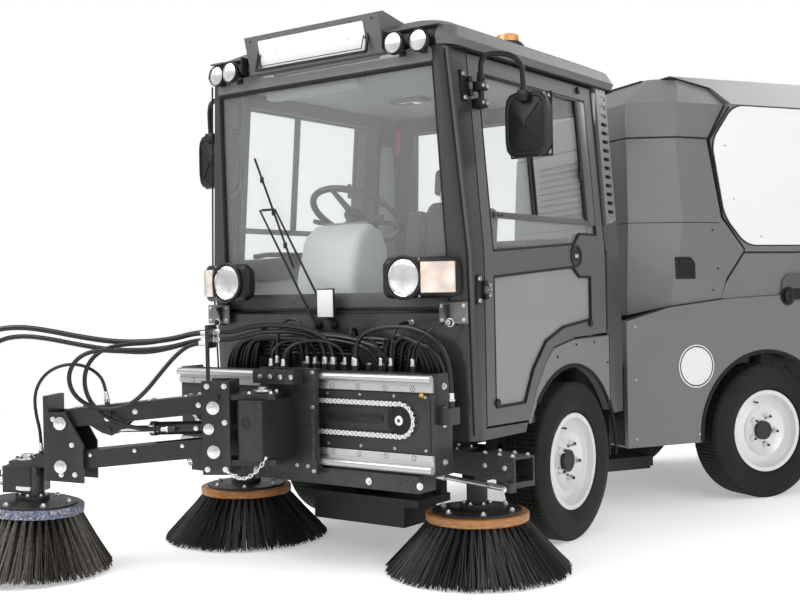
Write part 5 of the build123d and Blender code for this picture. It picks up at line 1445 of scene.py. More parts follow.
# ---- boom
@dataclass
class Boom:
    """Parallel arms with their lifting cylinder, which carry the third broom's head."""

    pin_s: float = 166.0
    out_s: float = 744.0
    pins_z: tuple[float, float] = (613.0, 455.0)
    fall: float = 54.0
    cheek: float = 70.0

    def build(self) -> None:
        """Makes the boom's finishes, pins, cylinder and head."""
        for node in ("swing_bracket", "upper_link", "lower_link"):
            refined(node, FRAME_PAINT, 2.5)
        refined("boom_head", FRAME_PAINT, 2)
        kept("lift_cylinder_barrel", FRAME_PAINT)
        kept("lift_cylinder_rod", BRIGHT)
        self.pins()
        self.links()
        self.cylinder()
        self.head()
        self.chain()

    def pin(self, shape: Shape, s: float, z: float, radius: float = 12.0) -> None:
        """Adds a pin's two washers, nuts and split pins.

        Args:
            shape: the piece that gets them.
            s: the pin's distance from the boom's swing axis.
            z: its height.
            radius: its radius.
        """
        for side in SIDES:
            y = side * self.cheek
            shape.rod((s, y, z), (s, y + side * 4, z), radius * 2, BRIGHT, sides=26, round_off=1)
            shape.rod((s, y + side * 4, z), (s, y + side * 9, z), radius * 1.35, BRIGHT, sides=6, round_off=1)
            shape.rod((s - 8, y + side * 7, z - 12), (s + 8, y + side * 7, z + 12), 2, BRIGHT, sides=8)

    def pins(self) -> None:
        """Dresses the bracket's pins and plates."""
        shape = Shape(Module.BOOM)
        for z in self.pins_z:
            self.pin(shape, self.pin_s, z)
        self.pin(shape, 183, 537, 10)
        for side in SIDES:
            for s, z in ((124, 690), (188, 690), (124, 392), (190, 392), (124, 560)):
                shape.bolt((s, side * self.cheek, z), (0, side, 0), 7)
            shape.rod((150, side * self.cheek, 650), (150, side * (self.cheek + 16), 650), 9, CHASSIS_PAINT, sides=18)
        for s, y in ((-40, -42), (-40, 42), (40, 42), (40, -42)):
            shape.bolt((s, y, 660), UP, 7)
        shape.finish("bracket_fittings", "bracket")

    def links(self) -> None:
        """Adds the ties, nipples and clips along the upper arm."""
        shape = Shape(Module.BOOM)

        def along(x: float, y: float, z: float) -> Point:
            """A point in the arm's own run.

            Args:
                x: how far along the arm from its pin.
                y: how far to its left.
                z: how far above its middle line.

            Returns:
                The point in the boom's axes.
            """
            slope = atan2(self.fall, self.out_s - self.pin_s)
            return (self.pin_s + x * cos(slope) + z * sin(slope), y,
                    self.pins_z[0] - x * sin(slope) + z * cos(slope))

        for x in (110, 250, 520):
            for side in SIDES:
                shape.rod(along(x, side * 30, 47), along(x, side * 30, 54), 8, BRIGHT, sides=6, round_off=0.8)
        for x in (60, 300):
            shape.rod(along(x, 44, 14), along(x, 49, 14), 10, BRIGHT, sides=20, round_off=0.8)
            shape.rod(along(x, 49, 14), along(x, 55, 14), 6.5, BRIGHT, sides=6)
        shape.rod(along(405, 44, 2), along(405, 52, 2), 13, BRIGHT, round_off=0.8)
        shape.rod(along(400, 50, 70), along(400, 50, 60), 10, BRIGHT, sides=6)
        shape.box((330, 430), (-34, 34), (600, 604), FRAME_PAINT, 1)
        shape.finish("arm_fittings", "link_upper")
        lower = Shape(Module.BOOM)
        for s, z in ((290, 474), (470, 457), (640, 441)):
            lower.rod((s, 44, z), (s, 51, z), 8, BRIGHT, sides=6, round_off=0.8)
            lower.rod((s, -44, z), (s, -51, z), 8, BRIGHT, sides=6, round_off=0.8)
        lower.finish("lower_arm_fittings", "link_lower")

    def cylinder(self) -> None:
        """Adds the lifting cylinder's gland, clips and port blocks."""
        shape = Shape(Module.BOOM)
        slope = atan2(-8, 389)

        def along(x: float, y: float = 0.0, z: float = 0.0) -> Point:
            """A point along the cylinder."""
            return (183 + x * cos(slope) - z * sin(slope), y, 537 + x * sin(slope) + z * cos(slope))

        shape.rod(along(221), along(239.5), 27, BRIGHT, sides=32, round_off=1.2)
        shape.rod(along(212), along(221), 25.5, CHASSIS_PAINT, sides=32)
        for x in (60, 205):
            shape.rod(along(x, 20, 0), along(x, 34, 0), 10, BRIGHT, sides=6, round_off=0.8)
        shape.finish("cylinder_fittings", "lift_barrel")

    def head(self) -> None:
        """Dresses the head: pins, motor, bolts and the swivel's ring."""
        shape = Shape(Module.BOOM)
        for z in self.pins_z:
            self.pin(shape, self.out_s, z - self.fall)
        for side in SIDES:
            for s, z in ((690, 372), (742, 372), (770, 575), (700, 480)):
                shape.bolt((s, side * self.cheek, z), (0, side, 0), 6.5)
        for y in (-30, 30):
            for z in (480, 560, 630):
                shape.bolt((808, y, z), (1, 0, 0), 7)
        shape.rod((905, 0, 420), (905, 0, 427), 46, BRIGHT, sides=36, round_off=1)
        shape.rod((905, 0, 427), (905, 0, 440), 22, BRIGHT, sides=6, round_off=1.2)
        for x, y in around(6, 36, radians(20)):
            shape.bolt((905 + x, y, 427), UP, 4.5, CHASSIS_PAINT)
        for y, z in ((22, 370), (-22, 330)):
            shape.rod((984, y, z), (992, y, z), 17, BRIGHT, sides=6, round_off=0.8)
        for y in (-34, 34):
            for z in (312, 390):
                shape.bolt((984, y, z), (1, 0, 0), 4)
        shape.rod((905, -44, 350), (905, -52, 350), 9, BRIGHT, sides=6)
        shape.box((846, 950), (-49, -44), (320, 385), FRAME_PAINT, 1.5)
        for s in (858, 938):
            shape.screw((s, -49, 352), AHEAD, 5)
        shape.turned([(44, -2), (52, -2), (52, 12), (44, 12), (44, -2)], BRIGHT, (905 - 0.6, 0, 312), (-0.07, 0, 1), 36)
        shape.finish("head_fittings", "head")

    def chain(self) -> None:
        """Hangs the safety chain between the bracket and the carriage."""
        shape = Shape(Module.BOOM)
        count = 13
        start, end = Vector((112, 76, 384)), Vector((-30, 84, 436))
        sag = 44
        places = [start.lerp(end, n / count) - Vector((0, 0, sag * 4 * (n / count) * (1 - n / count)))
                  for n in range(count + 1)]
        for n, (one, two) in enumerate(zip(places, places[1:])):
            link = spun([(5.5 + x, 0, z) for x, z in around(8, 1.9)], True, UP, tau, 14)
            long = Matrix.Diagonal((1, 1, 1.65, 1)) @ rotated(90, "Y")
            turn = turned_to(two - one) @ rotated(90 * (n % 2), "Z")
            shape.join(link, BRIGHT, moved((one + two) / 2) @ turn @ long)
        for place in (start, end):
            shape.rod(place - Vector((0, 8, 0)), place + Vector((0, 6, 0)), 5, BRIGHT, sides=12)
        shape.finish("safety_chain", "bracket")


# ---- side broom arms
@dataclass
class BroomArm:
    """A side broom's swinging arm, its push rod and the broom's motor."""

    side: int
    module: Module
    length: float = 445.0
    half: float = 50.0
    guide_x: float = 200.0

    def build(self) -> None:
        """Makes the arm's finish, pins and rods, and the motor's."""
        word = SIDES[self.side]
        front = -self.side
        refined(f"broom_arm_{word}", FRAME_PAINT, 1.6)
        refined(f"broom_motor_{word}", CHASSIS_PAINT, 2)
        shape = Shape(self.module)
        for x in (60, 130, 285, 360, 425):
            for y in (-36, 36):
                shape.bolt((x, y, 438), UP, 6.5)
        for x in (110, 300, 400):
            shape.bolt((x, front * self.half, 398), (0, front, 0), 6.5)
        for x, z in ((22, 336), (self.length - 22, 330)):
            shape.rod((x, front * 50, z), (x, front * 74, z), 8, BRIGHT, sides=20, round_off=1)
            shape.rod((x, front * 74, z), (x, front * 80, z), 12, BRIGHT, sides=6, round_off=1)
        shape.rod((30, front * 62, 336), (100, front * 62, 335), 13, BRIGHT, round_off=1)
        shape.rod((100, front * 62, 335), (118, front * 62, 334.7), 11, BRIGHT, sides=6)
        shape.rod((330, front * 62, 331.8), (352, front * 62, 331.5), 12, BRIGHT, sides=6, round_off=0.8)
        shape.rod((352, front * 62, 331.5), (self.length - 30, front * 62, 330.2), 10.5, BRIGHT)
        shape.rod((20, front * 62, 336), (self.length - 20, front * 62, 330), 9.4, BRIGHT)
        shape.rod((0, 0, 438), (0, 0, 441), 24, BRIGHT, sides=28)
        shape.finish(f"broom_arm_fittings_{word}", f"arm_{word}")
        motor = Shape(self.module)
        for y in (-26, 26):
            for x in (self.guide_x - 22, self.guide_x + 22):
                motor.bolt((x, y, 406), UP, 5)
        motor.finish(f"broom_motor_bolts_{word}", f"motor_{word}")


# ---- cab
def side_x(height: float) -> float:
    """The cab's outer side at a height: upright to the waist, then leaning inwards."""
    return 640 - 62 * max(0, height - 1150) / 736


def post_y(height: float) -> float:
    """The front of the cab's corner posts at a height."""
    return -722 - 0.052 * (height - 480)


def on_side(side: int, y: float, height: float, proud: float = 0.0) -> Point:
    """A point on the cab's side, or proud of it."""
    return (side * (side_x(height) + proud), y, height)


@dataclass
class CabShell:
    """The cab's frame, roof, glass, vents, fenders and hinges."""

    arch_radius: float = 384.0
    hinge_y: float = -664.0

    def build(self) -> None:
        """Makes the shell's finishes and its trim."""
        refined("cab_frame", POST_PAINT, 5, 20, 3)
        refined("cab_tub", TRIM, 2)
        refined("cab_roof", DARK_PANEL, 7, 12, 3)
        refined("front_fenders", GREY_PAINT, 6, 24, 3)
        refined("cab_vents", GREY_PAINT, 2, 24)
        refined("door_hinges", TRIM, 1)
        refined("front_chassis", CHASSIS_PAINT, 2)
        refined("suction_mouth", CHASSIS_PAINT, 2)
        kept("cab_glass", GLASS)
        self.seals()
        self.fittings()
        self.fenders()
        self.roof()

    def seals(self) -> None:
        """Beads rubber round the windscreen and the rear window."""
        shape = Shape()
        top = 1826
        corners = [(-556, 940), (556, 940), (528, top), (-528, top)]
        loop = [(x, post_y(z) + 8, z) for x, z in corners]
        shape.bead(loop, 9, SEAL)
        back = [(-470, 498, 1240), (470, 498, 1240), (455, 498, 1796), (-455, 498, 1796)]
        shape.bead(back, 8, SEAL)
        for side in SIDES:
            shape.bead([(side * 627, post_y(500) + 2, 500), (side * 631, post_y(1140) + 8, 1140),
                        (side * 575, post_y(1870) + 8, 1870)], 3.5, SEAL, False)
        shape.plate([(-556, 940), (556, 940), (553, 1016), (-553, 1016)],
                    (post_y(980) + 13, post_y(980) + 17), TRIM, "y", 1)
        shape.plate([(-532, 1832), (532, 1832), (524, 1886), (-524, 1886)], (post_y(1860) - 5, post_y(1860) - 1),
                    HEADER_GLASS, "y", 1, 14)
        shape.finish("cab_seals", slot="trim_black")

    def fittings(self) -> None:
        """Adds the hinge plates with their screws, the vents' screws, a strip behind each door and the row of dark
        blocks on the vents.
        """
        shape = Shape()
        for side in SIDES:
            for low, high in ((966, 1072), (1692, 1806)):
                mid = (low + high) / 2
                lean = atan2(side_x(low) - side_x(high), high - low)
                spot = (moved(on_side(side, 0, mid, 3.2)) @ Matrix.Rotation(-side * lean, 4, "Y"))
                half = (high - low) / 2
                shape.box((-3, 3), (self.hinge_y - 50, self.hinge_y - 14), (-half, half), TRIM, 2, spot)
                for z in (-half + 14, half - 14):
                    shape.screw(spot @ Vector((side * 3, self.hinge_y - 32, z)), (side, 0, 0), 8.5)
            for z in (1302, 1872):
                shape.screw(on_side(side, 380 + (z - 1302) * 0.02, z, 14), (side, 0, 0), 4.5)
            shape.box((side * 632, side * 642), (316, 330), (840, 1180), SEAL, 2)
        for n in range(14):
            z, y = 1345 + 38 * n, 386 + 16 * n / 13
            for side in SIDES:
                x = side_x(z)
                shape.box((side * (x - 3), side * (x + 3)), (y - 30, y + 30), (z - 9, z + 9), SEAL, 1)
        shape.finish("cab_fittings")

    def fenders(self) -> None:
        """Rolls a rubber lip round each front wheel arch, and screws the fenders on."""
        shape = Shape()
        radius = self.arch_radius
        for side in SIDES:
            shape.arc([(radius - 4, 0), (radius + 9, 0), (radius + 11, 3), (radius + 9, 7), (radius - 2, 9),
                       (radius - 5, 6)], SEAL, (side * 638, 0, 320), side, -3, 141, 56)
            for y, z in ((-120, 748), (40, 790), (200, 792), (322, 700), (322, 520), (322, 380)):
                shape.screw((side * 640, y, z), (side, 0, 0), 5.5, TRIM)
            shape.box((side * 470, side * 634), (343, 352), (300, 812), TRIM, 2)
            shape.plate([(-352, 560), (-300, 560), (-300, 506), (-352, 506)], (side * 600, side * 636),
                        TRIM, "x", 2)
        shape.finish("fender_trim", slot="trim_black")

    def roof(self) -> None:
        """Adds the roof's gutter, visor screws, hatch, beacon foot and lamp pocket linings."""
        shape = Shape()
        loop = [(-560, -772, 1888), (560, -772, 1888), (598, -730, 1888), (598, 500, 1888), (560, 528, 1888),
                (-560, 528, 1888), (-598, 500, 1888), (-598, -730, 1888)]
        shape.bead([(x * 0.995, y * 0.995, z - 4) for x, y, z in loop], 6, SEAL)
        shape.box((-250, 250), (-380, 120), (1999, 2006), DARK_PANEL, 6)
        shape.bead([(-262, -392, 2000), (262, -392, 2000), (262, 132, 2000), (-262, 132, 2000)], 4, SEAL)
        for side in SIDES:
            for x in (300, 200):
                shape.screw((side * x, -846, 2008), (0, -0.97, -0.24), 4, TRIM)
            shape.box((side * 352, side * 550), (-786, -781), (1888, 1954), TRIM, 2)
            shape.box((side * 346, side * 351), (-850, -782), (1888, 1955), TRIM, 1.5)
        for x in (-264, 264):
            shape.rod((x, -833, 1946), (x, -838, 1945), 5, TRIM, sides=12)
        shape.turned([(66, 0), (66, 6), (60, 10), (0, 10)], TRIM, (440, -120, 1999), UP, 40)
        shape.finish("roof_fittings")


@dataclass
class Door:
    """A glazed door with its sliding window, latch and seals."""

    side: int

    def build(self) -> None:
        """Makes the door's finish, its glass and its fittings."""
        word = SIDES[self.side]
        refined(f"door_{word}", DOOR_PAINT, 4, 24, 3)
        self.glaze(f"door_glass_{word}")
        shape = Shape()
        side = self.side
        upper = [(-588, 1159), (-588, 1810), (254, 1810), (254, 1241), (100, 1241), (50, 1199)]
        lower = [(-588, 590), (-588, 1066), (25, 1106), (85, 1066), (180, 1066), (180, 888), (-60, 864), (-204, 814),
                 (-308, 712), (-374, 590)]
        for outline in (upper, lower):
            shape.bead([on_side(side, y, z, -4) for y, z in outline], 6, SEAL)
        # sliding window: sill bar, upright bars and the black border behind it
        self.strip(shape, (-560, 1280), (196, 1304), 9, 2, DOOR_PAINT)
        self.strip(shape, (-270, 1304), (-252, 1806), 8, 2, TRIM)
        self.strip(shape, (-246, 1304), (-234, 1806), 11, 2, TRIM)
        self.strip(shape, (-590, 1800), (256, 1812), 9, 2, TRIM)
        self.strip(shape, (160, 1296), (186, 1806), 10, 3, SEAL)
        self.strip(shape, (186, 1280), (256, 1812), 9, 3, DOOR_PAINT)
        for n in range(3):
            shape.rod(on_side(side, -560 + 26 * n, 1291, 1), on_side(side, -560 + 26 * n, 1291, 4), 5, TRIM, sides=14)
        shape.box((side * (side_x(1500) - 2), side * (side_x(1500) + 10)), (140, 160), (1470, 1540), TRIM, 4)
        # round latch with its dished ring
        shape.turned([(0, -3), (28, -3), (33, -1), (36, 5), (44, 6), (47, 3), (47, -2)], TRIM,
                     (side * 640, 51, 1150), (side, 0, 0), 40)
        shape.rod((side * 638, 51, 1150), (side * 641, 51, 1150), 27, CHASSIS_PAINT, sides=32)
        shape.box((side * 640, side * 646), (38, 64), (1143, 1157), BRIGHT, 2)
        for y, z in ((165, 873), (-584, 607), (200, 1850)):
            shape.rod((side * side_x(z), y, z), (side * (side_x(z) + 9), y, z), 15, TRIM, round_off=2)
        for low in (1008, 1740):
            for y in (-612, -592):
                shape.screw(on_side(side, y - 26, low + 10, 6), (side, 0, 0), 4.5)
        for z in (1000, 1034, 1733, 1767):
            shape.screw(on_side(side, -626, z, 5), (side, 0, 0), 8)
        for low in (1017, 1750):
            self.strip(shape, (-642, low - 30), (-606, low + 30), 5, 2, TRIM)
        # door edge seal and inner grab handle
        shape.bead([on_side(side, y, z, -30) for y, z in ((-646, 534), (-646, 1866), (312, 1866), (312, 836))], 7,
                   SEAL, False)
        inner = side_x(1300) - 74
        shape.pipe([(side * (inner + 34), -540, 1180), (side * inner, -540, 1180), (side * inner, -500, 1190),
                    (side * inner, -120, 1190), (side * inner, -80, 1180), (side * (inner + 34), -80, 1180)], 11,
                   TRIM, 14)
        shape.finish(f"door_fittings_{word}", f"door_body_{word}", slot="trim_black")

    @staticmethod
    def glaze(node: str) -> None:
        """Gives the upper pane clear glass and the lower one a grey pane, whose grey is a painted reflection.

        Args:
            node: the CAD node of the door's two panes.
        """
        kept(node, GLASS)
        mesh = frame["nodes"][node].data
        mesh.materials.append(PANE_GLASS.material())
        for face in mesh.polygons:
            if face.center.z < 1.12:
                face.material_index = len(mesh.materials) - 1

    def strip(self, shape: Shape, low: Flat, high: Flat, proud: float, round_off: float, finish: Finish) -> None:
        """Adds an upright strip on the door's leaning side.

        Args:
            shape: the piece that gets it.
            low, high: its low and high corners, in y and z.
            proud: its thickness.
            round_off: the width of its edges' rounding.
            finish: what it is made of.
        """
        (y0, z0), (y1, z1) = low, high
        outline = [(self.side * (side_x(z0) - 8), z0), (self.side * (side_x(z0) - 8 + proud), z0),
                   (self.side * (side_x(z1) - 8 + proud), z1), (self.side * (side_x(z1) - 8), z1)]
        shape.plate(outline, (y0, y1), finish, "y", round_off)


@dataclass
class Mirror:
    """An outside mirror in a faceted black shell on a bent tube."""

    side: int
    centre_x: float
    centre_z: float = 1610.0

    def build(self) -> None:
        """Makes the shell, its glass and its tube."""
        side, word = self.side, SIDES[self.side]
        x, z = side * self.centre_x, self.centre_z
        shape = Shape()
        shell = bmesh.new()
        half_x, half_z = 87, 117
        loops = ((1, -508), (1, -546), (0.93, -553), (0.86, -553.5), (0.82, -549), (0.06, -562), (0.04, -562.3))
        rings: list[list[bmesh.types.BMVert]] = []
        for scale, y in loops:
            ring = []
            for n in range(32):
                turn = tau * (n + 0.5) / 32
                c, s = cos(turn), sin(turn)
                bulge = (abs(c) ** 5 + abs(s) ** 5) ** -0.2
                ring.append(shell.verts.new((x + half_x * scale * bulge * c, y, z + half_z * scale * bulge * s)))
            rings.append(ring)
        for one, two in zip(rings, rings[1:]):
            for n in range(32):
                shell.faces.new((one[n], one[(n + 1) % 32], two[(n + 1) % 32], two[n]))
        shell.faces.new(rings[-1])
        shape.join(shell, TRIM)
        for angle in map(radians, (38, 142, 218, 322)):
            tip = (x + 69.3 * cos(angle), -552, z + 115 * sin(angle))
            shape.rod((x, -563.5, z), tip, 3, TRIM, sides=8)
        shape.rod((x, -560, z), (x, -566, z), 9, TRIM, sides=20, round_off=1)
        shape.plate([(x - 78, z - 108), (x + 78, z - 108), (x + 78, z + 108), (x - 78, z + 108)], (-507.6, -505.2),
                    MIRROR, "y", 0.5, 18)
        shape.bead([(x - 84, -508, z - 113), (x + 84, -508, z - 113), (x + 84, -508, z + 113), (x - 84, -508, z + 113)],
                   3.5, TRIM)
        base = side_x(1700) + 30
        shape.pipe([(side * base, -626, 1668), (side * base, -626, 1790), (side * base, -626, 1846),
                    (side * (base + 26), -620, 1868), (side * (self.centre_x - 40), -590, 1862),
                    (side * (self.centre_x - 4), -567, 1830), (x, -562, 1780), (x, -558, 1715)], 10, TRIM, 16)
        shape.box((x - 22, x + 22), (-575, -540), (1690, 1730), TRIM, 6)
        for z_clamp in (1690, 1752):
            shape.box((side * (base - 38), side * (base + 16)), (-648, -604), (z_clamp - 17, z_clamp + 17),
                      TRIM, 5)
            for y in (-640, -612):
                shape.bolt((side * (base + 16), y, z_clamp), (side, 0, 0), 5)
        shape.rod((side * base, -626, 1772), (side * base, -626, 1784), 16, TRIM, round_off=2)
        shape.finish(f"mirror_{word}_shell", f"door_body_{word}", (f"mirror_{word}",), slot="trim_black")


@dataclass
class Lamps:
    """Head lamps, roof lamps, the beacon and the wipers."""

    head_y: float = -862.0
    roof: tuple[Point, ...] = ((498.0, -826.0, 1901.0), (404.0, -848.0, 1901.0))

    def build(self) -> None:
        """Makes every lamp's housing and lens, then the wipers."""
        for side, word in SIDES.items():
            self.head_lamp(side, word)
        self.roof_lamps()
        self.beacon()
        self.wipers()

    def head_lamp(self, side: int, word: str) -> None:
        """Makes one head lamp: a rounded black housing, a clear lens and an indicator.

        Args:
            side: the side that it stands on.
            word: that side's name.
        """
        shape = Shape()
        front = self.head_y

        def swept(part: BMesh) -> None:
            """Bends the lamp's outer end back round the corner."""
            for vertex in part.verts:
                vertex.co.y += 0.0042 * max(0, abs(vertex.co.x) - 500) ** 2

        part = block((side * 322, side * 628), (-861, -783), (986, 1146))
        centre = Vector((side * 475, -822, 1066))
        for vertex in part.verts:
            if vertex.co.y > centre.y:
                vertex.co.x = centre.x + (vertex.co.x - centre.x) * 0.84
                vertex.co.z = centre.z + (vertex.co.z - centre.z) * 0.8
        shape.soften(part, 34, 8)
        swept(part)
        shape.join(part, TRIM)
        shape.rod((side * 560, -784, 1060), (side * 560, post_y(1082), 1060), 20, TRIM)
        shape.rod((side * 575, -790, 905), (side * 575, post_y(905) + 2, 905), 12, TRIM)
        shape.rod((side * 575, -772, 905), (side * 575, -786, 905), 16, BRIGHT, round_off=1.5)
        shape.turned([(80, 0), (80, 6), (76, 9), (70, 9), (67, 3), (66, -10)], TRIM, (side * 436, front, 1066),
                     AHEAD, 56)
        shape.turned([(0, -16), (20, -14), (44, -6), (62, 4), (66, 6)], MIRROR, (side * 436, front, 1066),
                     AHEAD, 40)
        shape.rod((side * 436, front + 12, 1066), (side * 436, front - 4, 1066), 9, CLEAR_LENS, 7, sides=20)
        shape.turned([(0, 12), (30, 11), (52, 8.5), (66, 4)], CLEAR_LENS, (side * 436, front, 1066), AHEAD, 56)
        panel = block((side * 512, side * 616), (front - 9, front + 1), (1012, 1120))
        bmesh.ops.subdivide_edges(panel, edges=panel.edges, cuts=5, use_grid_fill=True)
        shape.soften(panel, 3, 2)
        swept(panel)
        shape.join(panel, TURN_LENS)
        for z in (1000, 1132):
            shape.screw((side * 500, front + 1, z), AHEAD, 4)
        shape.finish(f"head_lamp_{word}", "front_module", ("lamp_housings", "lamp_lenses"), slot="lens_clear")
        bracket = Shape()
        bracket.plate([(-806, 968), (-746, 968), (-746, 902), (-770, 902)],
                      (side * 556, side * 566), FRAME_PAINT, "x", 1.5)
        bracket.box((side * 520, side * 640), (-772, -764), (900, 978), GREY_PAINT, 3)
        for x in (534, 626):
            for z in (914, 964):
                bracket.bolt((side * x, -772, z), AHEAD, 5)
        bracket.finish(f"head_lamp_bracket_{word}")

    def roof_lamps(self) -> None:
        """Makes the two pairs of work lamps in the roof's pockets."""
        shape = Shape()
        for side in SIDES:
            for x, y, z in self.roof:
                foot = (side * x, y - 8, z)
                shape.turned([(42, 0), (42, 4), (38, 10), (36.5, 9), (36, 2)], TRIM, foot, AHEAD, 40)
                shape.turned([(42, 0), (42, -10), (34, -19), (0, -20)], TRIM, foot, AHEAD, 40)
                shape.turned([(0, -8), (14, -6), (28, 0), (36, 5)], MIRROR, foot, AHEAD, 32)
                shape.turned([(0, 9.5), (20, 8.6), (36, 5.5)], CLEAR_LENS, foot, AHEAD, 40)
                shape.rod((side * x, y, z), (side * x, -785, z), 11, TRIM, sides=16)
                shape.box((side * x - 14, side * x + 14), (-806, -790), (z - 40, z - 20), TRIM, 3)
        shape.finish("roof_lamps", slot="lens_clear")

    def beacon(self) -> None:
        """Makes the amber beacon."""
        shape = Shape()
        shape.turned([(57, 0), (57, 8), (54, 12), (50, 12)], TRIM, (440, -120, 2006), UP, 40)
        shape.turned([(50, 12), (50, 30), (46, 40), (34, 44), (0, 44)], AMBER_LENS, (440, -120, 2006), UP, 48)
        shape.finish("beacon")

    def wipers(self) -> None:
        """Makes the two arms and the blade that leans across the screen."""
        shape = Shape()
        for x in (-60, 20):
            y = post_y(895)
            shape.rod((x, y + 2, 895), (x, y - 14, 894), 16, TRIM, round_off=2)
            shape.rod((x, y - 14, 894), (x, y - 24, 893), 12, TRIM, 8)
            shape.rod((x, y - 17, 893), (x - 60, post_y(1000) - 22, 1000), 7, TRIM, 5.5, sides=12)
            shape.rod((x - 60, post_y(1000) - 22, 1000), (x - 262, post_y(1352) - 20, 1352), 5, TRIM, 4, sides=10)
        top, foot = (-345, post_y(1560) - 9, 1560), (-170, post_y(1120) - 9, 1120)
        middle = (-262, post_y(1352) - 16, 1352)
        shape.rod(foot, top, 4.2, TRIM, sides=8)
        shape.rod((middle[0] + 10, middle[1], middle[2]), (middle[0] - 52, middle[1], middle[2]), 5, TRIM, sides=10)
        for share in (0.2, 0.5, 0.8):
            point = Vector(foot).lerp(Vector(top), share)
            shape.box((point.x - 7, point.x + 7), (point.y - 7, point.y + 3), (point.z - 12, point.z + 12), TRIM, 2)
        shape.rod((foot[0], foot[1] + 4, foot[2]), (top[0], top[1] + 4, top[2]), 2.2, SEAL, sides=6)
        shape.finish("wiper_arms", "front_module", ("wipers",), slot="trim_black")


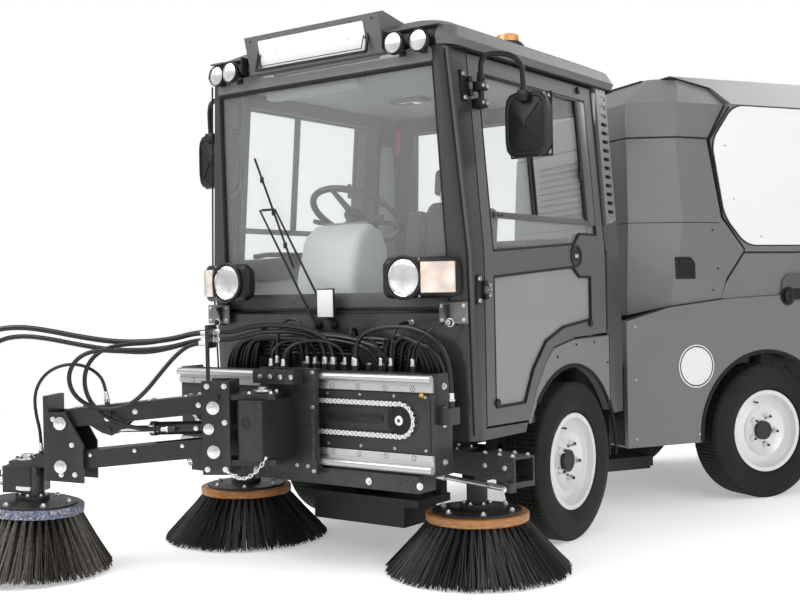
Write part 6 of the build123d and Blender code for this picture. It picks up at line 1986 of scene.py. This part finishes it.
@dataclass
class CabInside:
    """Driver's seat, dash, steering wheel, levers and the lining."""

    seat_x: float = -120.0
    wheel_centre: Point = (-120.0, -425.0, 1330.0)

    def build(self) -> None:
        """Makes the cab's inside."""
        self.seat()
        self.dash()
        self.lining()

    @staticmethod
    def cushion(x: Flat, y: Flat, z: Flat, lean: float = 0.0, pivot: Point = (0, 0, 0)) -> BMesh:
        """A stuffed cushion: a box whose faces swell and whose edges are pulled in at the seams.

        Args:
            x, y, z: its low and high sides.
            lean: its turn about X, in degrees.
            pivot: the point that it turns about.

        Returns:
            Its mesh.
        """
        part = bmesh.new()
        half = [(high - low) / 2 for low, high in (x, y, z)]
        bmesh.ops.create_cube(part, size=2)
        bmesh.ops.subdivide_edges(part, edges=part.edges, cuts=9, use_grid_fill=True)
        for vertex in part.verts:
            co = vertex.co
            full = [1 - abs(v) ** 6 for v in co]
            pull = sum(1 for v in co if abs(v) > 0.999)
            shrink = {1: 1, 2: 0.965, 3: 0.93}.get(pull, 1)
            swell = [0, 0, 0]
            for axis in range(3):
                if abs(co[axis]) > 0.999:
                    others = [n for n in range(3) if n != axis]
                    swell[axis] = copysign(0.075 * full[others[0]] * full[others[1]], co[axis])
            vertex.co = Vector((co[n] * 0.92 * shrink + swell[n] for n in range(3)))
        bmesh.ops.transform(part, matrix=moved(middle(x, y, z)) @ Matrix.Diagonal((*half, 1)), verts=part.verts)
        bmesh.ops.subdivide_edges(part, edges=part.edges, cuts=1, smooth=0.6, use_grid_fill=True)
        bmesh.ops.transform(part, matrix=tipped(lean, pivot), verts=part.verts)
        return part

    def seat(self) -> None:
        """Makes the seat's cushions, frame, headrest and belt."""
        x = self.seat_x
        shape = Shape()
        hinge = (x, 215, 880)
        for span_x, span_y, span_z, lean in (
                ((x - 150, x + 150), (-205, 190), (790, 895), 0),
                ((x - 232, x - 142), (-200, 200), (800, 905), 0),
                ((x + 142, x + 232), (-200, 200), (800, 905), 0),
                ((x - 140, x + 140), (200, 290), (900, 1440), -7),
                ((x - 222, x - 132), (175, 285), (900, 1400), -7),
                ((x + 132, x + 222), (175, 285), (900, 1400), -7),
                ((x - 112, x + 112), (225, 300), (1470, 1600), -7)):
            shape.join(self.cushion(span_x, span_y, span_z, lean, hinge), SEAT_CLOTH)
        seat = shape.finish("seat_cushions", "front_module", ("driver_seat",), 70, "seat_fabric")
        frame_shape = Shape()
        frame_shape.box((x - 190, x + 190), (-120, 190), (500, 700), TRIM, 14)
        frame_shape.box((x - 215, x + 215), (-170, 210), (730, 790), TRIM, 16)
        for n in range(4):
            frame_shape.box((x - 182 + 3 * n, x + 182 - 3 * n), (-110, 180), (700 + 8 * n, 706 + 8 * n), SEAL, 2.5)
        for side in (-60, 60):
            frame_shape.rod((x + side, 292, 1440), (x + side, 306, 1500), 7, BRIGHT, sides=14)
        frame_shape.box((x - 190, x + 190), (292, 312), (900, 1380), TRIM, 9, tipped(-7, hinge))
        for side in (-1, 1):
            frame_shape.box((x + side * 262 - 26, x + side * 262 + 26), (-60, 240), (1040, 1082), TRIM, 14)
            frame_shape.rod((x + side * 252, 230, 1060), (x + side * 225, 250, 1000), 12, TRIM, sides=16)
        frame_shape.finish("seat_frame")

    def dash(self) -> None:
        """Makes the binnacle, the steering wheel and the levers."""
        x = self.seat_x
        shape = Shape()
        outline = [(-640, 500), (-480, 500), (-478, 900), (-440, 1165), (-480, 1262), (-560, 1300), (-640, 1240),
                   (-690, 1080), (-672, 800)]
        part = prism([(x - 112, y, z) for y, z in outline], (300, 0, 0))
        shape.soften(part, 34, 6, 12)
        shape.join(part, INNER_GREY)
        shape.box((x - 70, x + 150), (-560, -520), (1268, 1300), INNER_DARK, 12)
        hub = Vector(self.wheel_centre)
        up = Vector((0, 0.6, 1)).normalized()
        grip = [(190 + a, 11 + b) for a, b in around(12, 14)]
        shape.turned([*grip, grip[0]], TRIM, hub, up, 64)
        shape.turned([(0, 14), (34, 14), (48, 8), (52, -4), (44, -14), (0, -16)], TRIM, hub, up, 40)
        turn = turned_to(up)
        for spoke in around(3, 1, radians(30)):
            run = turn @ Vector((*spoke, 0))
            shape.rod(hub + run * 40, hub + run * 186 + up * 9, 15, TRIM, 9, sides=14)
        shape.rod(hub - up * 10, (x, -506, 1218), 30, TRIM, 40, sides=28)
        for side, reach in ((-1, 150), (1, 140)):
            shape.rod((x + side * 26, -470, 1262), (x + side * reach, -474, 1310), 6, TRIM, sides=12)
            shape.rod((x + side * reach, -474, 1310), (x + side * (reach + 34), -475, 1320), 10, TRIM, sides=14,
                      round_off=2)
        shape.box((150, 520), (-690, -560), (860, 905), INNER_GREY, 18)
        shape.box((-560, -270), (-690, -600), (860, 905), INNER_GREY, 18)
        shape.box((-540, 540), (-700, -676), (520, 880), INNER_GREY, 8)
        shape.box((200, 420), (-640, -590), (905, 1130), INNER_DARK, 14)
        shape.box((214, 406), (-592, -589), (930, 1110), SEAL, 3)
        shape.box((150, 300), (-60, 330), (520, 1010), INNER_GREY, 30)
        shape.rod((225, 20, 1010), (225, 8, 1110), 9, TRIM, sides=14)
        shape.rod((225, 8, 1110), (225, 4, 1170), 20, TRIM, 24, round_off=5)
        for n in range(4):
            x = 180 + 30 * n
            shape.rod((x, 110, 1010), (x, 110, 1030), 9, RED_TRIM if n == 1 else TRIM, sides=16, round_off=2)
        for n, y in ((0, -560), (1, -540)):
            shape.box((-200 + 130 * n, -120 + 130 * n), (y - 60, y + 20), (530, 548), TRIM, 5)
        shape.finish("dash_and_wheel", "front_module", ("steering_console",), slot="trim_black")

    def lining(self) -> None:
        """Makes the floor mat, grab bars, roof lamp, hammer and blinds."""
        shape = Shape()
        shape.box((-440, 440), (-660, 440), (500, 506), INNER_DARK, 2)
        shape.box((-540, 540), (380, 448), (506, 1190), INNER_GREY, 20)
        shape.box((-520, 520), (-700, 440), (1862, 1880), INNER_GREY, 10)
        for side in SIDES:
            shape.pipe([(side * 560, -706, 1700), (side * 540, -668, 1700), (side * 536, -660, 1690),
                        (side * 540, -660, 1540), (side * 546, -664, 1440), (side * 566, -708, 1430)], 13, TRIM, 16)
            shape.box((side * 555, side * 592), (330, 440), (1200, 1860), INNER_GREY, 10)
        shape.box((-190, -20), (-90, 0), (1846, 1864), INNER_DARK, 9)
        shape.box((-150, -60), (-74, -16), (1842, 1848), CLEAR_LENS, 3)
        shape.box((-556, -530), (440, 456), (1690, 1840), RED_TRIM, 6)
        shape.box((-572, -514), (438, 458), (1800, 1826), RED_TRIM, 7)
        for n in range(3):
            shape.rod((-120 + 60 * n, -620, 1846), (-120 + 60 * n, -600, 1846), 8, INNER_DARK, sides=14)
        shape.box((-360, 120), (-700, -640), (1800, 1862), INNER_GREY, 14)
        shape.finish("cab_lining")


# ---- rear module
@dataclass
class RearBody:
    """The engine cowl, the skirts and the tipping hopper."""

    cowl: tuple[tuple[float, float, float, float, float], ...] = (
        (850, 520, 150, 330, 630), (960, 520, 150, 330, 630), (1320, 540, 150, 390, 630), (1700, 520, 160, 360, 622),
        (1880, 480, 190, 400, 590), (2030, 330, 420, 520, 440))
    axle_y: float = 856.0
    arch_radius: float = 378.0

    def build(self) -> None:
        """Makes the body's finishes and its trim."""
        refined("rear_cowl", GREY_PAINT, 34, 8, 6)
        refined("rear_skirts", GREY_PAINT, 6, 24, 3)
        refined("hopper_sill", GREY_PAINT, 7, 20, 3)
        refined("hopper", GREY_PAINT, 22, 14, 5)
        refined("tail_door", GREY_PAINT, 6)
        refined("rear_chassis", CHASSIS_PAINT, 2)
        refined("engine", ENGINE_PAINT, 4)
        kept("tip_cylinder_barrels", FRAME_PAINT)
        kept("tip_cylinder_rods", BRIGHT)
        refined("tail_lamps", RED_LENS, 4)
        self.cowl_trim()
        self.side_trim()
        self.hopper_trim()

    def section(self, height: float) -> list[Point]:
        """The cowl's outline, from its left flank round the front to its right.

        Args:
            height: the height that it is taken at.

        Returns:
            Its corners.
        """
        low, high = next(pair for pair in zip(self.cowl, self.cowl[1:]) if pair[0][0] <= height <= pair[1][0])
        share = (height - low[0]) / (high[0] - low[0])
        front, y, flank_y, half = (a + (b - a) * share for a, b in zip(low[1:], high[1:]))
        corners = ((half, 600), (half, flank_y), (front, y), (-front, y), (-half, flank_y), (-half, 600))
        return [(*corner, height) for corner in corners]

    def cowl_trim(self) -> None:
        """Adds the cowl's seams, its handle recess, the filler cap and the screws."""
        shape = Shape(Module.REAR)
        for height, radius in ((1712, 4), (1316, 1.6)):
            line = self.section(height)
            if height == 1712:
                line = [(622, 545, height), *line[1:-1], (-622, 545, height)]
            shape.bead(line, radius, SEAL, False)
        for side in SIDES:
            shape.plate([(347, 1053), (458, 1053), (458, 1128), (432, 1156), (347, 1156)],
                        (side * 626, side * 632.5), TRIM, "x", 1.5, 6)
            shape.plate([(357, 1063), (448, 1063), (448, 1124), (427, 1146), (357, 1146)],
                        (side * 632, side * 633.5), SEAL, "x", 0.5, 5)
            shape.box((side * 631, side * 638), (364, 442), (1128, 1142), TRIM, 3)
            for y, z in ((560, 1280), (590, 1100), (560, 1000)):
                shape.screw((side * 630, y, z), (side, 0, 0), 5, TRIM)
        shape.box((-300, 300), (405, 440), (1990, 2034), SEAL, 10)
        for n in range(9):
            shape.box((-260, 260), (146, 152), (1380 + 32 * n, 1392 + 32 * n), SEAL, 3)
        shape.plate([(958, 938), (1290, 938), (1290, 1072), (1000, 1072), (966, 1040)], (639.5, 640.6), DOOR_PAINT, "x",
                    0.3, 14)
        shape.plate([(972, 946), (1280, 946), (1280, 1000), (972, 1000)], (640.4, 641.2), SEAL, "x", 0.3, 10)
        shape.turned([(0, 26), (26, 26), (33, 21), (34, 4), (44, 3), (46, 0)], TRIM, (640, 996, 963), (1, 0, 0), 40)
        shape.box((650, 670), (990, 1002), (935, 991), TRIM, 3)
        shape.finish("cowl_trim", slot="trim_black")

    def side_trim(self) -> None:
        """Adds the arch lips, the blank disc, the sill's seams and the belly."""
        shape = Shape(Module.REAR)
        radius = self.arch_radius
        for side in SIDES:
            x = side * 638
            shape.arc([(radius - 5, 0), (radius + 9, 0), (radius + 12, 3), (radius + 10, 7), (radius - 2, 9),
                       (radius - 6, 6)], SEAL, (x, self.axle_y, 320), side, -4, 188, 64)
            shape.arc([(radius - 6, 2), (radius + 2, 2), (radius + 2, -120), (radius - 2, -120), (radius - 6, -116)],
                      TRIM, (x, self.axle_y, 320), side, -4, 188, 48)
            shape.turned([(0, 2.6), (84, 2.6), (84, 3), (99, 3), (100, 2.4), (100, 0)], WHITE_PAINT,
                         (side * 640, 447, 647), (side, 0, 0), 64)
            shape.turned([(88, 3.2), (94, 3.2), (94, 2.4), (88, 2.4), (88, 3.2)], TRIM, (side * 640, 447, 647),
                         (side, 0, 0), 64)
            shape.bead([(side * 639, 66, 868), (side * 639, 302, 926), (side * 639, 607, 957)], 3, SEAL, False)
            shape.bead([(side * 594, 607, 957), (side * 629, 642, 1047), (side * 629, 744, 1174)], 3.5, SEAL, False)
            shape.box((side * 600, side * 636), (1400, 1960), (1012, 1019), SEAL, 1)
            for y, z in ((110, 330), (110, 600), (110, 840), (460, 330), (1300, 330), (1300, 700), (1900, 480),
                         (1900, 960)):
                shape.screw((side * 640, y, z), (side, 0, 0), 6)
            shape.bead([(side * 640.5, 1262, 330), (side * 640.5, 1262, 960)], 2, SEAL, False)
        shape.rod((470, 62, 500), (512, 18, 446), 24, SEAL, 27, sides=28)
        shape.rod((512, 18, 446), (528, 2, 425), 30, SEAL, 30, sides=28, round_off=3)
        shape.rod((440, 96, 540), (470, 62, 500), 20, SEAL, 24, sides=28)
        shape.box((-280, 280), (40, 440), (124, 140), CHASSIS_PAINT, 6)
        for x in (-200, 0, 200):
            shape.box((x - 20, x + 20), (44, 436), (118, 125), CHASSIS_PAINT, 3)
        shape.box((-612, 612), (60, 66), (300, 660), TRIM, 3)
        for n in range(5):
            shape.pipe([(-120 + 55 * n, -20, 560), (-118 + 55 * n, 60, 600), (-100 + 50 * n, 180, 580),
                        (-90 + 50 * n, 300, 600)], 11, HOSE)
        shape.finish("side_trim", slot="trim_black")

    def hopper_trim(self) -> None:
        """Adds the white panels, a dark sheet round them that paints the shadow in the gap, and the hopper's seams."""
        outline = [(764, 1212), (638, 1346), (569, 1698), (700, 1872), (1920, 1872), (1990, 1794), (1990, 1212)]
        panels, shape = Shape(Module.REAR), Shape(Module.REAR)
        for side in SIDES:
            panels.plate(outline, (side * 622, side * 630), WHITE_PAINT, "x", 2.5, 90)
            # A dark sheet a little larger than each panel, set behind it: painted shadow in the gap round the panel.
            ring = [(y + (y - 1300) * 0.008, z + (z - 1540) * 0.014) for y, z in outline]
            shape.plate(ring, (side * 622, side * 625), SEAL, "x", 0.5, 92)
            for y, z in ((640, 1680), (690, 1430), (850, 1252), (1300, 1252), (1780, 1252), (1940, 1540), (1300, 1836)):
                panels.screw((side * 630, y, z), (side, 0, 0), 5)
        panels.finish("side_panels", "hopper_body", ("hopper_panels",))
        for side in SIDES:
            shape.bead([(side * 622, 753, 1190), (side * 622, 628, 1342), (side * 622, 556, 1706),
                        (side * 622, 672, 1862)], 5, SEAL, False)
        shape.finish("hopper_trim", "hopper_body", slot="trim_black")


# ---- the whole sweeper
def build_wheels() -> None:
    """Makes the four wheels."""
    for end, module, axle_y in (("front", Module.FRONT, 0.0), ("rear", Module.REAR, 856.0)):
        for side, word in SIDES.items():
            Wheel(f"{end}_{word}", module, side, axle_y).build()


def build_brooms() -> None:
    """Makes the two side brooms and the boom's broom."""
    for side, word in SIDES.items():
        Broom(f"side_broom_{word}", f"broom_{word}", f"side_broom_{word}", Module.FRONT,
              moved((side * 577, -631, 3)), 343.0, 184.0, WOOD, BRISTLE, 46, 20, 2.6, 3 + side).build()
    foot = moved((905, 0, 24)) @ rotated(-4, "Y")
    Broom("third_broom", "broom_third", "third_broom", Module.BOOM, foot, 306.0, 205.0, CHIPS, WIRE, 44, 18, 2.6,
          9).build()


def finish_plates() -> None:
    """Gives the blank number plate its border and screws."""
    refined("number_plate", PLATE, 1.0)
    shape = Shape()
    spot = moved((0, -832, 1952)) @ rotated(-14, "X")
    loop = [spot @ Vector((x, -4.6, z)) for x, z in ((-254, -50), (254, -50), (254, 50), (-254, 50))]
    shape.bead(loop, 1.8, TRIM)
    for x in (-180, 180):
        shape.screw(spot @ Vector((x, -4, 0)), spot.to_3x3() @ Vector(AHEAD), 5)
    frame_box = [(-272, -62), (272, -62), (272, 62), (-272, 62)]
    for (x0, z0), (x1, z1) in zip(frame_box, frame_box[1:] + frame_box[:1]):
        shape.rod(spot @ Vector((x0, 0, z0)), spot @ Vector((x1, 0, z1)), 6, TRIM, sides=12)
    shape.finish("plate_frame", slot="trim_black")


def main() -> None:
    """Builds the whole sweeper."""
    logging.basicConfig(level=logging.INFO, format="%(message)s")
    Viewpoint().build()
    Studio().build()
    for hose in HOSES:
        hose.build()
    build_wheels()
    build_brooms()
    SlideFrame().build()
    Carriage().build()
    Boom().build()
    BroomArm(LEFT, Module.LEFT_ARM).build()
    BroomArm(RIGHT, Module.RIGHT_ARM).build()
    CabShell().build()
    for side in SIDES:
        Door(side).build()
        Mirror(side, 760.0 if side == LEFT else 822.0).build()
    Lamps().build()
    CabInside().build()
    finish_plates()
    RearBody().build()


if __name__ == "__main__":
    main()
